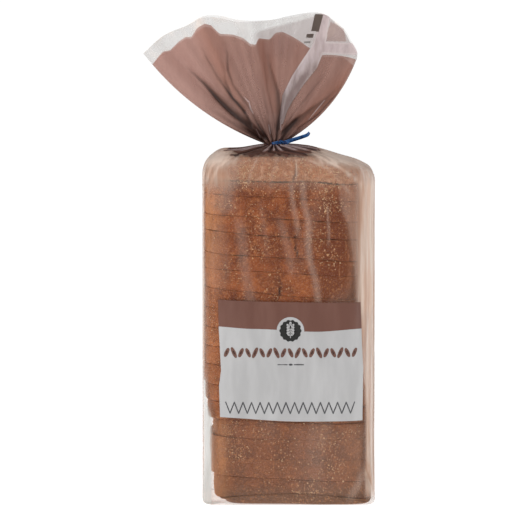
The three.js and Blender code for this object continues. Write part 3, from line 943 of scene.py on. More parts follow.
@dataclass
class BranFlecks:
    """Flakes of bran and flour that cling to the crust, thicker in patches."""

    patches: tuple[tuple[float, float, float, int], ...] = (
        (-31, 230, 8, 330), (27, 217, 8, 130), (24, 203, 7, 70), (-30, 222, 4, 70), (-46, 205, 9, 70),
        (24, 231, 14, 330), (2, 230, 26, 260), (38, 226, 9, 120), (-14, 225, 6, 60),
        (-22, 196, 9, 50), (19, 186, 9, 70), (-20, 178, 10, 80), (30, 170, 8, 50), (-40, 160, 10, 60),
        (-10, 150, 12, 60), (38, 205, 7, 40), (10, 231, 16, 130), (-42, 52, 7, 80), (-36, 36, 7, 90),
        (26, 44, 9, 110), (30, 26, 10, 120), (8, 9, 8, 60), (-20, 50, 12, 60), (44, 50, 6, 60),
        (-6, 30, 14, 70), (20, 12, 10, 60), (-52, 130, 6, 40), (40, 232, 10, 50), (-48, 20, 8, 50),
    )
    brow: float = 239.0
    spread: int = 2400
    heel_rim_rings: int = 9
    rim_rings: int = 12
    sides: int = 6
    seed: int = 5

    def scatter(self, loaf: Loaf, rng: np.random.Generator) -> tuple[Array, Array]:
        """Directions and heights of all flakes: the patches on the front, then an even spread."""
        xs, zs = [], []
        for x, z, reach, count in self.patches:
            xs.append(x + rng.normal(0, reach * 0.55, count))
            zs.append(z + rng.normal(0, reach * 0.55, count))
        x, z = np.concatenate(xs), np.concatenate(zs)
        z = self.brow - np.abs(self.brow - z)
        depth = (1 - np.clip(np.abs(x / 57), 0, 0.98) ** 4.1) ** (1 / 4.1)
        angle = np.append(np.arctan2(-loaf.front * depth, x), rng.uniform(-np.pi, np.pi, self.spread))
        return angle, np.append(z, rng.uniform(3, 236, self.spread))

    def settle(self, loaf: Loaf, angle: Array, z: Array) -> Array:
        """The points of the loaf's crust that lie nearest to the directions and heights."""
        bounds = np.array([loaf.top, *loaf.cut_heights, 0.0])
        tilts = np.radians(np.interp(-z, -np.array(loaf.cut_heights), loaf.cut_tilts))
        drop = np.tan(tilts) * (55 * np.cos(angle))
        number = np.clip(np.searchsorted(-bounds, -(z + drop)) - 1, 0, len(loaf.cut_heights))
        place = []
        for k in np.unique(number):
            skip = self.heel_rim_rings if k == 0 else self.rim_rings
            wall = loaf.slice_points(int(k))[0][skip:-skip]
            rings = np.arctan2(wall[..., 1], wall[..., 0])
            near = np.abs(np.angle(np.exp(1j * (rings[None] - angle[number == k][:, None, None]))))
            near = near * 60 + np.abs(wall[None, ..., 2] - z[number == k][:, None, None]) * 0.6
            place.append(wall.reshape(-1, 3)[near.reshape(near.shape[0], -1).argmin(1)])
        return np.concatenate(place)

    def domes(self, centre: Array, rng: np.random.Generator) -> Array:
        """Eight points to a flake: six on its rim, one in the crust and one on its raised middle."""
        count = len(centre)
        size = rng.gamma(3.0, 0.07, count) + 0.13
        outward = centre * np.array([1, 1, 0.0])
        outward = np.sign(outward) * np.abs(outward / 56.0) ** 3.1
        outward /= np.linalg.norm(outward, axis=1, keepdims=True)
        side = np.stack([-outward[:, 1], outward[:, 0], np.zeros(count)], -1)
        up = np.cross(outward, side)
        turn = rng.uniform(0, TURN, count)
        long_axis = side * np.cos(turn)[:, None] + up * np.sin(turn)[:, None]
        short_axis = np.cross(outward, long_axis)
        ring = np.arange(self.sides) * TURN / self.sides
        u = size[:, None] * np.cos(ring)
        v = (size * rng.uniform(0.45, 1.0, count))[:, None] * np.sin(ring)
        rim = centre[:, None] + u[..., None] * long_axis[:, None] + v[..., None] * short_axis[:, None]
        rim = rim + outward[:, None] * 0.06
        foot = centre - outward * 0.25
        top = centre + outward * (0.42 * size + 0.1)[:, None]
        return np.concatenate([rim, foot[:, None], top[:, None]], 1)

    def build(self, loaf: Loaf) -> bpy.types.Object:
        """Make all flakes as one mesh.

        Each flake is a low six-sided dome: a rim, a raised middle and a base, turned to lie on the
        crust. Its place is a direction and a height on the loaf.

        Args:
            loaf: The loaf that carries them.

        Returns:
            The piece.
        """
        rng = np.random.default_rng(self.seed)
        centre = self.settle(loaf, *self.scatter(loaf, rng))
        centre = centre + rng.uniform(-0.8, 0.8, centre.shape) * np.array([1.0, 0.0, 1.0])
        points = self.domes(centre, rng)
        first = np.arange(len(centre))[:, None, None] * (self.sides + 2)
        top = (first + pole_faces(0, self.sides, self.sides + 1, True)).reshape(-1, 4)
        under = (first + pole_faces(0, self.sides, self.sides, False)).reshape(-1, 4)
        obj = add_mesh("bran_flecks", points, np.concatenate([top, under]))
        paint(obj, [BranFinish().material()])
        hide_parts("bag")
        return obj


# The film

@dataclass(frozen=True)
class SheenStreak:
    """A pale band on the front of the film, along a path of x and z: milkiness with a painted highlight along
    a fold.
    """

    path: Knots
    half_width: float
    strength: float

    def over(self, x: Array, z: Array) -> Array:
        """Strength of the band over x and z: a bell across it that fades beyond its ends."""
        places, heights = np.array(sorted(self.path, key=lambda knot: knot[1])).T
        middle = np.interp(z, heights, places) + 0.5 * np.sin(z / 7.0)
        low, high = heights[0], heights[-1]
        ends = between(low - 6, low + 4, high - 4, high + 6, z)
        return self.strength * ends * bell(x, middle, self.half_width, 3.0)


@dataclass
class FilmBody:
    """The filled part of the bag: flat base, upright wall and pleated shoulder."""

    around: int = 400
    base_radius: float = 2.2
    clearance: float = 0.05
    wall_rows: int = 170
    neck_heights: Triple = (245.2, 246.2, 247.4)
    pleats: int = 21
    outside: float = -30.0
    # Pale bands on the front: milkiness with painted highlights along folds.
    streaks: tuple[SheenStreak, ...] = (
        SheenStreak(((4.6, 240), (5.2, 226)), 0.8, 0.30),
        SheenStreak(((1.5, 221), (3.1, 208), (4.8, 198), (5.6, 188)), 1.9, 0.20),
        SheenStreak(
            ((9.4, 221), (10.7, 208), (13.1, 196.4), (12.7, 181.3), (14.9, 168.7), (18.2, 156.2),
             (19.6, 140)),
            2.4,
            0.23,
        ),
        SheenStreak(((-34.5, 196), (-31.3, 173), (-28.8, 156), (-27, 140)), 3.8, 0.15),
        SheenStreak(((-6.2, 196), (-2.8, 183), (0.6, 173), (2.3, 160)), 2.9, 0.14),
        SheenStreak(((26.6, 204), (26.8, 181)), 0.8, 0.22),
        SheenStreak(((-47, 226), (-44, 203)), 9.0, 0.18),
        SheenStreak(((-19, 208), (-17, 190), (-15, 172)), 1.6, 0.08),
        SheenStreak(((52.6, 24), (47, 14), (41.8, 5)), 3.2, 0.22),
        SheenStreak(((-38.4, 240), (-49, 232.4), (-53, 224.5), (-55, 212)), 1.2, 0.17),
        SheenStreak(((-46, 240), (-54, 232.4), (-57, 222)), 0.9, 0.22),
        SheenStreak(((-21.2, 240), (-26.5, 230.4), (-27.9, 223)), 0.9, 0.20),
        SheenStreak(((27.6, 243), (40.8, 237.7), (54, 231)), 2.6, 0.30),
        SheenStreak(((17, 241.7), (34.2, 232.4), (48.7, 221.9)), 1.8, 0.26),
        SheenStreak(((9.1, 240), (27.6, 230.5), (42.8, 214)), 1.6, 0.16),
        SheenStreak(((-8, 240), (-12, 228), (-13, 216)), 1.2, 0.12),
    )
    fold_heights: tuple[float, ...] = (132, 141, 156, 173, 194, 204, 221)
    fold_places: tuple[float, ...] = (46.5, 45.9, 45, 43.4, 40, 35, 33)

    def haze_and_sheen(self, points: Array) -> Array:
        """How milky the film is at each point, with the painted highlights of its streaks and wrinkles."""
        x, y, z = points[..., 0], points[..., 1], points[..., 2]
        streaks = sum(s.over(x, z) for s in self.streaks) * (y < -20)
        sides = self.right_haze(x, y, z) + self.left_haze(x, y, z)
        return np.clip(streaks + sides + self.clouds(points) + self.top_haze_and_sheen(x, y, z), 0, 0.9)

    def right_haze(self, x: Array, y: Array, z: Array) -> Array:
        """Haze of the slack right side, in upright lines, and of the fold along its front edge."""
        start = 43 + 8 * smooth(110, 62, z)
        slack = smooth(0, 1, (x - start) / (54.5 - start)) * between(0, 12, 214, 240, z)
        drift = 0.8 * np.sin(z / 31.0) + 0.56 * np.sin(z / 13.0 + 1.0)
        lines = 0.5 + 0.5 * np.sin(np.arctan2(y, x) * 46 + drift)
        fold = np.interp(z, self.fold_heights, self.fold_places)
        edge = 0.17 * smooth(-0.8, 1.6, x - fold) * between(128, 138, 214, 226, z) * (y < 0)
        return slack * (0.57 + 0.2 * lines) * (1 - 0.55 * between(-40, -18, 28, 46, y)) + edge

    @staticmethod
    def left_haze(x: Array, y: Array, z: Array) -> Array:
        """Haze of the left edge, and of the loose film beside the lowest slices."""
        edge = 0.55 * smooth(-57.4, -59.3, x) * between(84, 98, 222, 236, z) * (y < -20)
        side = 0.16 * smooth(-53.5, -57.5, x) * between(72, 84, 150, 170, z)
        shift = 3.5 * smooth(58, 72, z)
        loose = 0.12 * smooth(-49, -56, x) * smooth(92, 58, z)
        loose = loose + 0.33 * smooth(-51.5, -54.5, x + shift) * smooth(94, 80, z)
        return edge + side + loose * (0.12 + 1.25 * smooth(-18, -44, y) + 0.4 * smooth(34, 48, y))

    @staticmethod
    def clouds(points: Array) -> Array:
        """Faint haze over the lower front, soft streaks on the back and clouds all over."""
        x, y, z = points[..., 0], points[..., 1], points[..., 2]
        lower = 0.05 * smooth(64, 52, z) * (x < 52) + 0.05 * smooth(-1, 8, x) * between(4, 12, 46, 60, z)
        soft = smooth(0.1, 0.9, waves(points * np.array([1, 1, 0.15]), 16.0, 31))
        cloud = 0.08 * smooth(0.1, 1.0, waves(points * np.array([1, 1, 0.25]), 22.0, 17))
        return lower + smooth(30, 50, y) * (0.05 + 0.16 * soft) + cloud

    @staticmethod
    def top_haze_and_sheen(x: Array, y: Array, z: Array) -> Array:
        """Haze round the top heel, with rays that run away from the neck: painted highlights on the wrinkles
        there.
        """
        heel = 0.17 * smooth(214, 224, z) + 0.34 * smooth(34, 54, -x) * smooth(212, 232, z)
        heel = heel + 0.36 * smooth(22, 52, x) * smooth(216, 232, z - 0.1 * x)
        drawn = np.arctan2(y, x - NECK_X)
        rays = smooth(0.1, 0.95, np.sin(43 * drawn + 2 * np.sin(5 * drawn)))
        away = smooth(16, 44, np.abs(x - NECK_X))
        return heel + smooth(230, 239, z) * (0.05 + 0.5 * away + 0.3 * away * rays)

    def shoulder(self, share: Array, angle: Array) -> Array:
        """Points over the top of the loaf.

        The film's corner is loose at the two sides and tight at the front and back: it rises by
        (1 - share^n)^0.45, with n from 5 to 17. Sharp pleats of many widths run into the neck.

        Args:
            share: Share of the full section, from 1 at the side to about 0.1 at the neck.
            angle: Directions, in radians.

        Returns:
            The points, in millimetres.
        """
        gather = smooth(1.0, 0.55, share)
        roundness = 5 + 12 * np.sin(angle) ** np.where(np.cos(angle) < 0, 4, 2)
        rise = np.clip(1 - share**roundness, 0, 1) ** 0.45
        radius = film_reach(angle) * share
        x = NECK_X * gather + radius * np.cos(angle)
        y = radius * np.sin(angle)
        lean = x * SHOULDER_LEAN * smooth(0.8, 1.0, share)
        drop = sag(x) * (1 - 0.4 * smooth(0.9, 1.0, share))
        cone = 5.2 * smooth(0.95, 0.08, share)
        z = EDGE_HEIGHT + (TOP_HEIGHT - 1.6 - EDGE_HEIGHT) * rise + cone - lean - drop
        z = z - self.pleat(angle) * gather * (0.6 + 1.5 * smooth(0.85, 0.3, share) * smooth(0.08, 0.2, share))
        slack = smooth(205, 228, z) * smooth(0.2, 0.9, share)
        z = z + 0.4 * slack * np.sin(23 * angle + 1.3 * np.sin(3 * angle)) * gather
        z = z - 1.5 * bell(x, -33, 12) * gather
        return np.stack([x, y, z], -1)

    def ridges(self, angle: Array, times: float, start: float) -> Array:
        """Triangle waves round the neck, uneven in width: 0 on a ridge and 1 in a valley."""
        warped = angle + 0.11 * np.sin(5 * angle + 0.7) + 0.07 * np.sin(9 * angle + 2.0)
        return triangle(times * self.pleats * warped / TURN + start)

    def pleat(self, angle: Array) -> Array:
        """Depth of the pleats by direction: folded ridges with a finer set between them."""
        return 1.15 * self.ridges(angle, 1.0, 0.0) ** 0.8 + 0.3 * self.ridges(angle, 2.0, 0.3)

    def ink(self, points: Array) -> Array:
        """How far inside the print each point of the shoulder lies, in millimetres.

        The print reaches further to the front and to the right of the neck than to the left, and
        ends raggedly because the pleats hide part of it.

        Args:
            points: Points of the film.

        Returns:
            Positive inside the print.
        """
        x, y, z = points[..., 0] - NECK_X, points[..., 1], points[..., 2]
        bearing = np.arctan2(y, x)
        share = (np.abs(x / 31.0) ** 4 + np.abs(y / np.where(y < 0, 52.5, 42.0)) ** 4) ** 0.25
        edge = 1 + 0.05 * np.sin(9 * bearing + 1.0)
        edge = edge + 0.07 * np.sin(31 * bearing) + 0.05 * np.sin(53 * bearing)
        foot = z - 240.3 - 0.8 * np.sin(0.55 * x + 0.7) - 0.5 * np.sin(1.3 * x)
        depth = (edge - share) * 25.0
        depth = np.where(y < -30, np.minimum(depth, foot), depth)
        return np.where(z > 226, depth, self.outside)

    def skin(self, angle: Array) -> Array:
        """Rings of the film: the flat base, its rounded foot, the wall, the shoulder and the neck.

        Args:
            angle: Directions, in radians, in one row.

        Returns:
            A grid of points, in millimetres, from the base upwards.
        """
        c, s = np.cos(angle), np.sin(angle)
        flat = np.array([0.15, 0.4, 0.7, 0.95])[:, None]
        inner = film_reach(angle, 1.0) - self.base_radius
        base = np.stack([inner * flat * c, inner * flat * s, 0 * flat * c + self.clearance], -1)
        turn = np.linspace(0, np.pi / 2, 6)[:, None]
        bend = inner + self.base_radius * np.sin(turn)
        rise = self.base_radius * (1 - np.cos(turn)) + 0 * angle + self.clearance
        foot = np.stack([bend * c, bend * s, rise], -1)
        heights = np.linspace(self.base_radius + 0.8, EDGE_HEIGHT, self.wall_rows)[:, None]
        wall = film_wall(angle + 0 * heights, heights + 0 * angle)
        lean = SHOULDER_LEAN * smooth(170, EDGE_HEIGHT, heights)
        wall[..., 2] -= wall[..., 0] * lean + sag(wall[..., 0]) * 0.6 * smooth(190, EDGE_HEIGHT, heights)
        shares = np.concatenate([np.linspace(0.998, 0.9, 14), np.linspace(0.885, 0.11, 44)])[:, None]
        top = self.shoulder(shares, angle + 0 * shares)
        fold = film_folds(angle + 0 * shares, EDGE_HEIGHT + 0 * shares) * smooth(0.93, 1.0, shares)
        top[..., 0] += fold * c
        top[..., 1] += fold * s
        rises = np.array(self.neck_heights)[:, None]
        pinch = NECK_RADIUS * (1 - 0.14 * self.pleat(angle)) + 0 * rises
        neck = np.stack([NECK_X + pinch * c, pinch * s, rises + 0 * angle], -1)
        return np.concatenate([base, foot, wall, top, neck])

    def shades(self, points: Array, bearing: Array) -> dict[str, Array]:
        """Numbers for the film's finish, at each point and then at the base's pole."""
        near = np.hypot(points[..., 0] - NECK_X, points[..., 1])
        valley = smooth(0.35, 1.15, self.pleat(bearing))
        fine = 0.5 + 0.5 * np.sin(67 * bearing + 2.0 * np.sin(7 * bearing))
        # Darker in the pleat valleys near the neck: overlapping print and painted shade in the pleats.
        overlap_and_shade = smooth(125, 20, near) * (points[..., 2] > 226) * (0.2 + 0.85 * valley + 0.35 * fine)
        inside = self.ink(points)
        # Pale lines on the pleat ridges of the print: painted highlights.
        ridge_highlight = 0.3 + 0.022 * near - self.ridges(bearing, 1.0, 0.0) * near * np.pi / self.pleats
        ridge_highlight = np.minimum(np.minimum(ridge_highlight, inside * 0.5 - 0.35), (34 - near) * 0.08)
        veil = np.where((near > 9) & (points[..., 1] < -3), ridge_highlight, self.outside)
        fields = {
            "haze_and_sheen": (self.haze_and_sheen(points), 0.1),
            "ink": (inside, self.outside),
            "overlap_and_shade": (overlap_and_shade, 0),
            "lit_ridge": (0 * overlap_and_shade, 0),
            "veil": (veil, self.outside),
        }
        return {name: np.append(values.ravel(), pole) for name, (values, pole) in fields.items()}

    def build(self) -> bpy.types.Object:
        """Make the film of the filled part."""
        angle = corner_angles(self.around)[None, :]
        points = self.skin(angle)
        rows = len(points)
        base = pole_faces(0, self.around, rows * self.around, False)
        flat = np.concatenate([points.reshape(-1, 3), [[0, 0, self.clearance]]])
        shades = self.shades(points, np.broadcast_to(angle, points.shape[:2]))
        faces = np.concatenate([grid_faces(rows, self.around, True), base])
        obj = add_mesh("film_body", flat, faces, shades)
        paint(obj, [FilmFinish("film_clear").material()])
        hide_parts("bag")
        return obj


@dataclass(frozen=True)
class Trace:
    """A path over the tail: knots of x, z, half width and strength."""

    path: tuple[tuple[float, float, float, float], ...]
    sharp: float = 0.0

    def measure(self, x: Array, z: Array) -> tuple[Array, Array]:
        """Strength of the fold along the path, and depth inside the path's edges.

        The strength is a bell of the distance, in half widths. On the sharp side, left of the path
        for +1 and right of it for -1, distances count three times.

        Args:
            x: Places across.
            z: Heights.

        Returns:
            The strength, and the depth in millimetres, which is negative outside.
        """
        strength, depth = np.zeros(x.shape), np.full(x.shape, -99.0)
        for (ax, az, aw, ak), (bx, bz, bw, bk) in zip(self.path, self.path[1:]):
            dx, dz = bx - ax, bz - az
            along = np.clip(((x - ax) * dx + (z - az) * dz) / (dx * dx + dz * dz), 0, 1)
            gap = np.hypot(x - ax - along * dx, z - az - along * dz)
            half = aw + (bw - aw) * along
            left = ((z - az) * dx - (x - ax) * dz) * self.sharp > 0
            far = gap / half * np.where(left, 3.0, 1.0)
            strength = np.maximum(strength, (ak + (bk - ak) * along) * bell(far, 0.0, 1.0))
            depth = np.maximum(depth, half - gap)
        return strength, depth


def inside_corners(corners: Knots, x: Array, z: Array) -> Array:
    """Depth inside a shape whose corners go round clockwise: the least distance to its sides."""
    depth = np.full(x.shape, 99.0)
    for (ax, az), (bx, bz) in zip(corners, corners[1:] + corners[:1]):
        length = math.hypot(bx - ax, bz - az)
        depth = np.minimum(depth, ((bz - az) * (x - ax) - (bx - ax) * (z - az)) / length)
    return depth


@dataclass
class FilmTail:
    """The loose tail above the tie, open at its mouth, with the print's edge and its clear strips."""

    around: int = 420
    up: int = 110
    depth: float = 29.0
    bow: float = 15.0
    mouth: Knots = (
        (-100.9, 309.2), (-87.2, 321.1), (-71.3, 328.6), (-59.6, 335.2), (-48.6, 335.9), (-34, 332.9),
        (-15.5, 332.5), (1.4, 334.8), (17.2, 337.5), (24.4, 336.8), (30.6, 333), (38.8, 325.8),
        (43.2, 318), (47.2, 311), (47.7, 306.5),
    )
    front_folds: Knots = (
        (0.0, 0.0), (0.05, 1.8), (0.105, -5.2), (0.17, 0.5), (0.255, 6.0), (0.30, 1.0), (0.38, 0.0),
        (0.465, 4.6), (0.53, -6.0), (0.60, 0.8), (0.70, 2.2), (0.79, 3.6), (0.87, 1.2), (0.93, -2.0),
        (0.965, -4.2), (1.0, 0.0),
    )
    back_folds: Knots = (
        (0.0, 0.0), (0.08, 3.0), (0.16, -3.5), (0.27, 4.5), (0.36, -4.0), (0.46, 3.8), (0.55, -3.2),
        (0.66, 5.0), (0.75, -3.6), (0.85, 3.0), (0.93, -2.4), (1.0, 0.0),
    )
    # Dark creases of the front layer: painted shade in its folds, which also dent the film.
    creases: tuple[Trace, ...] = (
        Trace(
            ((-73, 302, 0.4, 0), (-67, 296, 1.0, 0.35), (-58, 287.5, 2.4, 0.75), (-50, 278, 3.6, 0.95),
             (-43.0, 271, 4.0, 0.95), (-38.0, 266.5, 4.4, 0.95), (-31.5, 261.7, 3.8, 0.9),
             (-17, 250.8, 2.6, 0.5)),
            -1.0,
        ),
        Trace(
            ((-48, 308, 0.4, 0), (-45, 300, 1.2, 0.35), (-43, 290, 1.8, 0.4), (-39, 278, 2.6, 0.5),
             (-31, 272, 2.6, 0.45), (-26, 260, 2.2, 0.35)),
            1.0,
        ),
        Trace(
            ((-15.7, 315, 0.4, 0), (-12.6, 300, 1.6, 0.35), (-6.6, 280, 3.2, 0.65), (-5.6, 267, 3.0, 0.7),
             (-7, 257, 2.2, 0.5)),
            1.0,
        ),
        Trace(
            ((-4.6, 255, 2.2, 0.5), (4, 262.5, 3.4, 0.85), (11.3, 268, 3.0, 0.5), (26, 278, 3.4, 0.35),
             (37, 290, 2.0, 0)),
            1.0,
        ),
        Trace(((-66, 278, 1.0, 0), (-40, 262, 1.8, 0.3), (-18, 250, 2.2, 0.5))),
        Trace(((-58.5, 324, 0.4, 0), (-55, 312, 1.6, 0.2), (-50, 300, 0.8, 0)), 1.0),
        Trace(((8, 312, 0.4, 0), (4, 290, 2.2, 0.2), (0, 272, 2.0, 0.2)), -1.0),
        Trace(((-26, 322, 0.4, 0), (-21, 292, 2.2, 0.2), (-15, 268, 2.4, 0.3)), -1.0),
        Trace(((-80, 308, 0.4, 0), (-66, 296, 2.0, 0.12), (-56, 285, 1.0, 0))),
        Trace(
            ((-62, 318, 0.3, 0), (-57, 306, 0.7, 0.45), (-50, 294, 0.8, 0.4), (-41, 281, 0.7, 0.5),
             (-30, 268, 0.8, 0.4))
        ),
        Trace(
            ((-44, 316, 0.3, 0), (-42.5, 308, 0.7, 0.5), (-42, 297, 0.9, 0.6), (-38.5, 287, 0.8, 0.5),
             (-31, 277, 0.7, 0.6), (-25, 268, 0.6, 0.3), (-20, 257, 0.6, 0.2))
        ),
        Trace(
            ((-17.5, 316, 0.3, 0), (-16.8, 300, 0.6, 0.3), (-14.6, 284, 0.7, 0.35), (-11, 268, 0.6, 0.3),
             (-9.6, 258, 0.5, 0.3))
        ),
        Trace(
            ((31, 303, 0.3, 0), (24, 293, 0.6, 0.25), (14, 281, 0.6, 0.3), (4, 268, 0.6, 0.3),
             (-3, 258, 0.5, 0.2))
        ),
        Trace(((-26, 300, 0.3, 0), (-23.5, 284, 0.5, 0.2), (-19, 266, 0.5, 0.25), (-15, 254, 0.5, 0.2))),
        Trace(((41, 296, 0.3, 0), (33, 281, 0.6, 0.3), (20, 267, 0.7, 0.4), (6, 257, 0.6, 0.3))),
    )
    glints: tuple[Trace, ...] = (
        Trace(((-27.6, 276, 0.3, 1), (-26.4, 271, 0.5, 1), (-24.4, 267.5, 0.3, 1))),
        Trace(((-31, 279, 0.2, 1), (-28.2, 276, 0.4, 1))),
        Trace(((-13.8, 260, 0.2, 1), (-13.2, 256.5, 0.4, 1), (-12.6, 253.5, 0.2, 1))),
        Trace(((-22.6, 257, 0.2, 1), (-20.6, 253, 0.4, 1), (-19.4, 250.5, 0.2, 1))),
        Trace(((-5.0, 272, 0.3, 1), (-5.8, 264, 0.4, 1), (-5.4, 256, 0.2, 1))),
        Trace(((13.6, 263, 0.1, 1), (18, 268.6, 0.3, 1), (25, 277, 0.2, 1))),
    )
    strips: tuple[Trace, ...] = (
        Trace(
            ((26.5, 342, 3.3, 1), (23.6, 326, 3.4, 1), (20.6, 313, 4.4, 1), (14.6, 302, 5.6, 1),
             (6.6, 291, 4.9, 1), (-0.4, 279, 3.9, 1), (-3.2, 270, 2.0, 1), (-4.6, 261, 0.5, 1))
        ),
        Trace(((20.5, 312.8, 4.0, 1), (45.5, 312.2, 4.0, 1))),
    )
    panel: Knots = ((28.4, 330.7), (38.0, 325.9), (39.8, 317.0), (25.2, 317.0))
    # Bulging lobes of the front layer, warmer with painted light on their ridges.
    lit_fold_ridges: tuple[Trace, ...] = (
        Trace(((-58, 326, 9, 0.6), (-50, 305, 8, 0.7), (-43, 289, 6, 0.6), (-33, 273, 4, 0.4))),
        Trace(((-19, 320, 6, 0.5), (-16, 304, 6, 0.6), (-13, 287, 5, 0.6), (-10, 271, 4, 0.5))),
        Trace(((8, 312, 8, 0.3), (4, 292, 8, 0.3))),
        Trace(((45, 305, 6, 0.3), (35, 286, 8, 0.8), (20, 271, 7, 0.8), (6, 260, 4, 0.6))),
    )
    print_edge: Knots = (
        (46, 83.1), (64, 69.3), (69, 71.4), (71.4, 71.8), (85.6, 78.2), (89.2, 77.6), (92.2, 73.1),
        (98.2, 74.5), (100.2, 70.2), (103.2, 71.6), (105.9, 76.6), (110.1, 81.2), (115.8, 85.2),
        (116.7, 88.9), (117.4, 93), (119.5, 96.2), (123.1, 96.2), (127.2, 93.7), (129, 96.3),
        (132.2, 97.1), (137.2, 97.4), (139.4, 100.3), (147.4, 101.2), (160, 101.2),
    )
    mark_rows: int = 24
    mark_columns: int = 14
    marks: tuple[Knots, ...] = (
        ((0.734, 0.767), (0.865, 0.992)), ((0.717, 0.749), (0.815, 0.845)), ((0.712, 0.743), (0.775, 0.79)),
    )

    def rim(self, across: Array) -> tuple[Array, Array]:
        """x and z of the mouth at a share of its length from the left tip, on a smooth curve."""
        line = spline(np.array(self.mouth), 24)
        length = np.append(0, np.cumsum(np.linalg.norm(np.diff(line, axis=0), axis=1)))
        length /= length[-1]
        return np.interp(across, length, line[:, 0]), np.interp(across, length, line[:, 1])

    @staticmethod
    def pleat(angle: Array) -> Array:
        """Height of the tight pleats at the tie by direction, from 0 to 1."""
        return triangle(15 * angle / TURN + 0.16 * np.sin(4 * angle))

    def points(self, angle: Array, rise: Array, out: float = 0.0) -> Array:
        """Points of the tail's film.

        Each line of film is a quadratic curve from the neck through a bend to the mouth. Folds of
        the front and of the back layer grow with the rise, and tight pleats fade away from the neck.

        Args:
            angle: Directions round the tube, with the front layer where the sine is negative.
            rise: From 0 at the tie to 1 at the mouth.
            out: Distance off the film towards the front, in millimetres.

        Returns:
            The points, in millimetres.
        """
        c, s = np.cos(angle), np.sin(angle)
        across = (1 + c) / 2
        pleat = self.pleat(angle)
        root_radius = NECK_RADIUS * (1.06 - 0.16 * pleat)
        root = np.stack([NECK_X + root_radius * c, root_radius * s, FLARE_HEIGHT - 2.8 + 0 * c], -1)
        tip_x, tip_z = self.rim(across)
        layer = np.sqrt(np.abs(s))
        front = s < 0
        fold = np.where(front, -eased_line(self.front_folds, across), eased_line(self.back_folds, across))
        fold = fold * layer
        tip_z = tip_z + np.where(front, 0.0, 1.0) * layer * (-1.6 + 1.4 * np.sin(11 * across + 0.5))
        tip = np.stack([tip_x, self.depth * s, tip_z], -1)
        side = np.where(c >= 0, 1.0, -1.0)
        reach = tip - root
        outward = np.stack([side * reach[..., 2], 0 * c, -side * reach[..., 0]], -1)
        outward /= np.linalg.norm(outward, axis=-1, keepdims=True)
        bend = (root + tip) / 2 + outward * (self.bow * c**2)[..., None]
        bend[..., 1] = 0.42 * tip[..., 1]
        t = rise[..., None]
        line = root * (1 - t) ** 2 + bend * 2 * t * (1 - t) + tip * t**2
        deep = rise**0.75
        line[..., 1] += fold * deep + np.where(front, -out, out)
        small = 0.5 * np.sin(61 * across + 5 * rise) * smooth(0.05, 0.3, rise) * smooth(1.0, 0.5, rise)
        tight = -1.5 * (pleat - 0.5) * smooth(0.55, 0.02, rise) * (0.35 + rise)
        line[..., 1] += (small + tight * 1.6) * np.where(front, -1.0, 1.0) * layer
        line[..., 0] += tight * c * 0.4
        curl = smooth(0.9, 1.0, rise) * 0.8 * np.sin(37 * across + 1.0) * layer
        line[..., 1] += curl
        return line

    @staticmethod
    def flat_place(points: Array) -> tuple[Array, Array]:
        """x and height as laid flat: the nearer layer sits a little lower, by 0.07 of its depth."""
        return points[..., 0], points[..., 2] + 0.07 * (points[..., 1] + 8.0)

    def ink(self, u: Array, w: Array, front: Array) -> Array:
        """How far inside the print each point of the two layers lies, in millimetres.

        Args:
            u: Places across, as laid flat.
            w: Heights, as laid flat.
            front: Where the front layer is.

        Returns:
            Positive inside the print.
        """
        x, z = u - NECK_X, w - (FLARE_HEIGHT - 4.3)
        bearing = np.degrees(np.arctan2(z, x))
        edge = np.interp(bearing, *np.array(self.print_edge).T) + 0.6
        hidden = np.where(bearing > 66, edge + 0.6, np.minimum(edge, 79.0))
        depth = np.minimum(np.where(front, edge, hidden) - np.hypot(x, z), 8.0)
        patch = np.minimum(inside_corners(self.panel, u, w), 0.05)
        depth = np.where(front, np.maximum(depth, patch), depth)
        clear = np.maximum.reduce([strip.measure(u, w)[1] for strip in self.strips])
        clear = np.where(front, clear, self.strips[0].measure(u, w)[1])
        return np.minimum(depth, -clear)

    def veil(self, x: Array, z: Array, front: Array) -> Array:
        """Depth inside the pale strips and glints of the front, and the milky field of the back."""
        lines = np.maximum.reduce([line.measure(x, z)[1] for line in (*self.strips, *self.glints)])
        milky = smooth(-30, -17, x) * smooth(1.5, -1.5, z - 324.4 - 0.276 * (x + 26.8)) * smooth(300, 312, z)
        return np.where(front, lines, -0.3 + 0.5 * milky)

    def strip_shade(self, x: Array, z: Array, fan: Array) -> Array:
        """How dark the long clear strip is: more towards the tie and on its right half."""
        strip = self.strips[0]
        middle = np.interp(-z, [-knot[1] for knot in strip.path], [knot[0] for knot in strip.path])
        share = 0.45 + 0.4 * smooth(-3.0, 3.0, x - middle) + 0.3 * fan + 0.25 * smooth(288, 274, z)
        return (strip.measure(x, z)[1] > -0.3) * smooth(311, 292, z) * share

    def build(self) -> list[bpy.types.Object]:
        """Make the tail and its dark register mark."""
        angle = (np.arange(self.around) * TURN / self.around)[None, :]
        angle = angle - 0.10 * np.sin(2 * angle)
        rise = np.linspace(0, 1, self.up)[:, None]
        angle, rise = angle + 0 * rise, rise + 0 * angle
        points = self.points(angle, rise)
        front = np.sin(angle) < 0
        across = (1 + np.cos(angle)) / 2
        x, z = self.flat_place(points)
        ink, veil = self.ink(x, z, front), self.veil(x, z, front)
        # Painted shade along the creases, which also dent the film.
        dark = sum(c.measure(x, z)[0] for c in self.creases) * front
        lit_ridge = sum(c.measure(x, z)[0] for c in self.lit_fold_ridges) * front
        points[..., 1] += 1.6 * dark - 1.5 * lit_ridge * smooth(0.1, 0.4, rise)
        fan = waves(np.stack([across * 170, rise * 9, np.where(front, 0.0, 40.0)], -1), 7.0, 77)
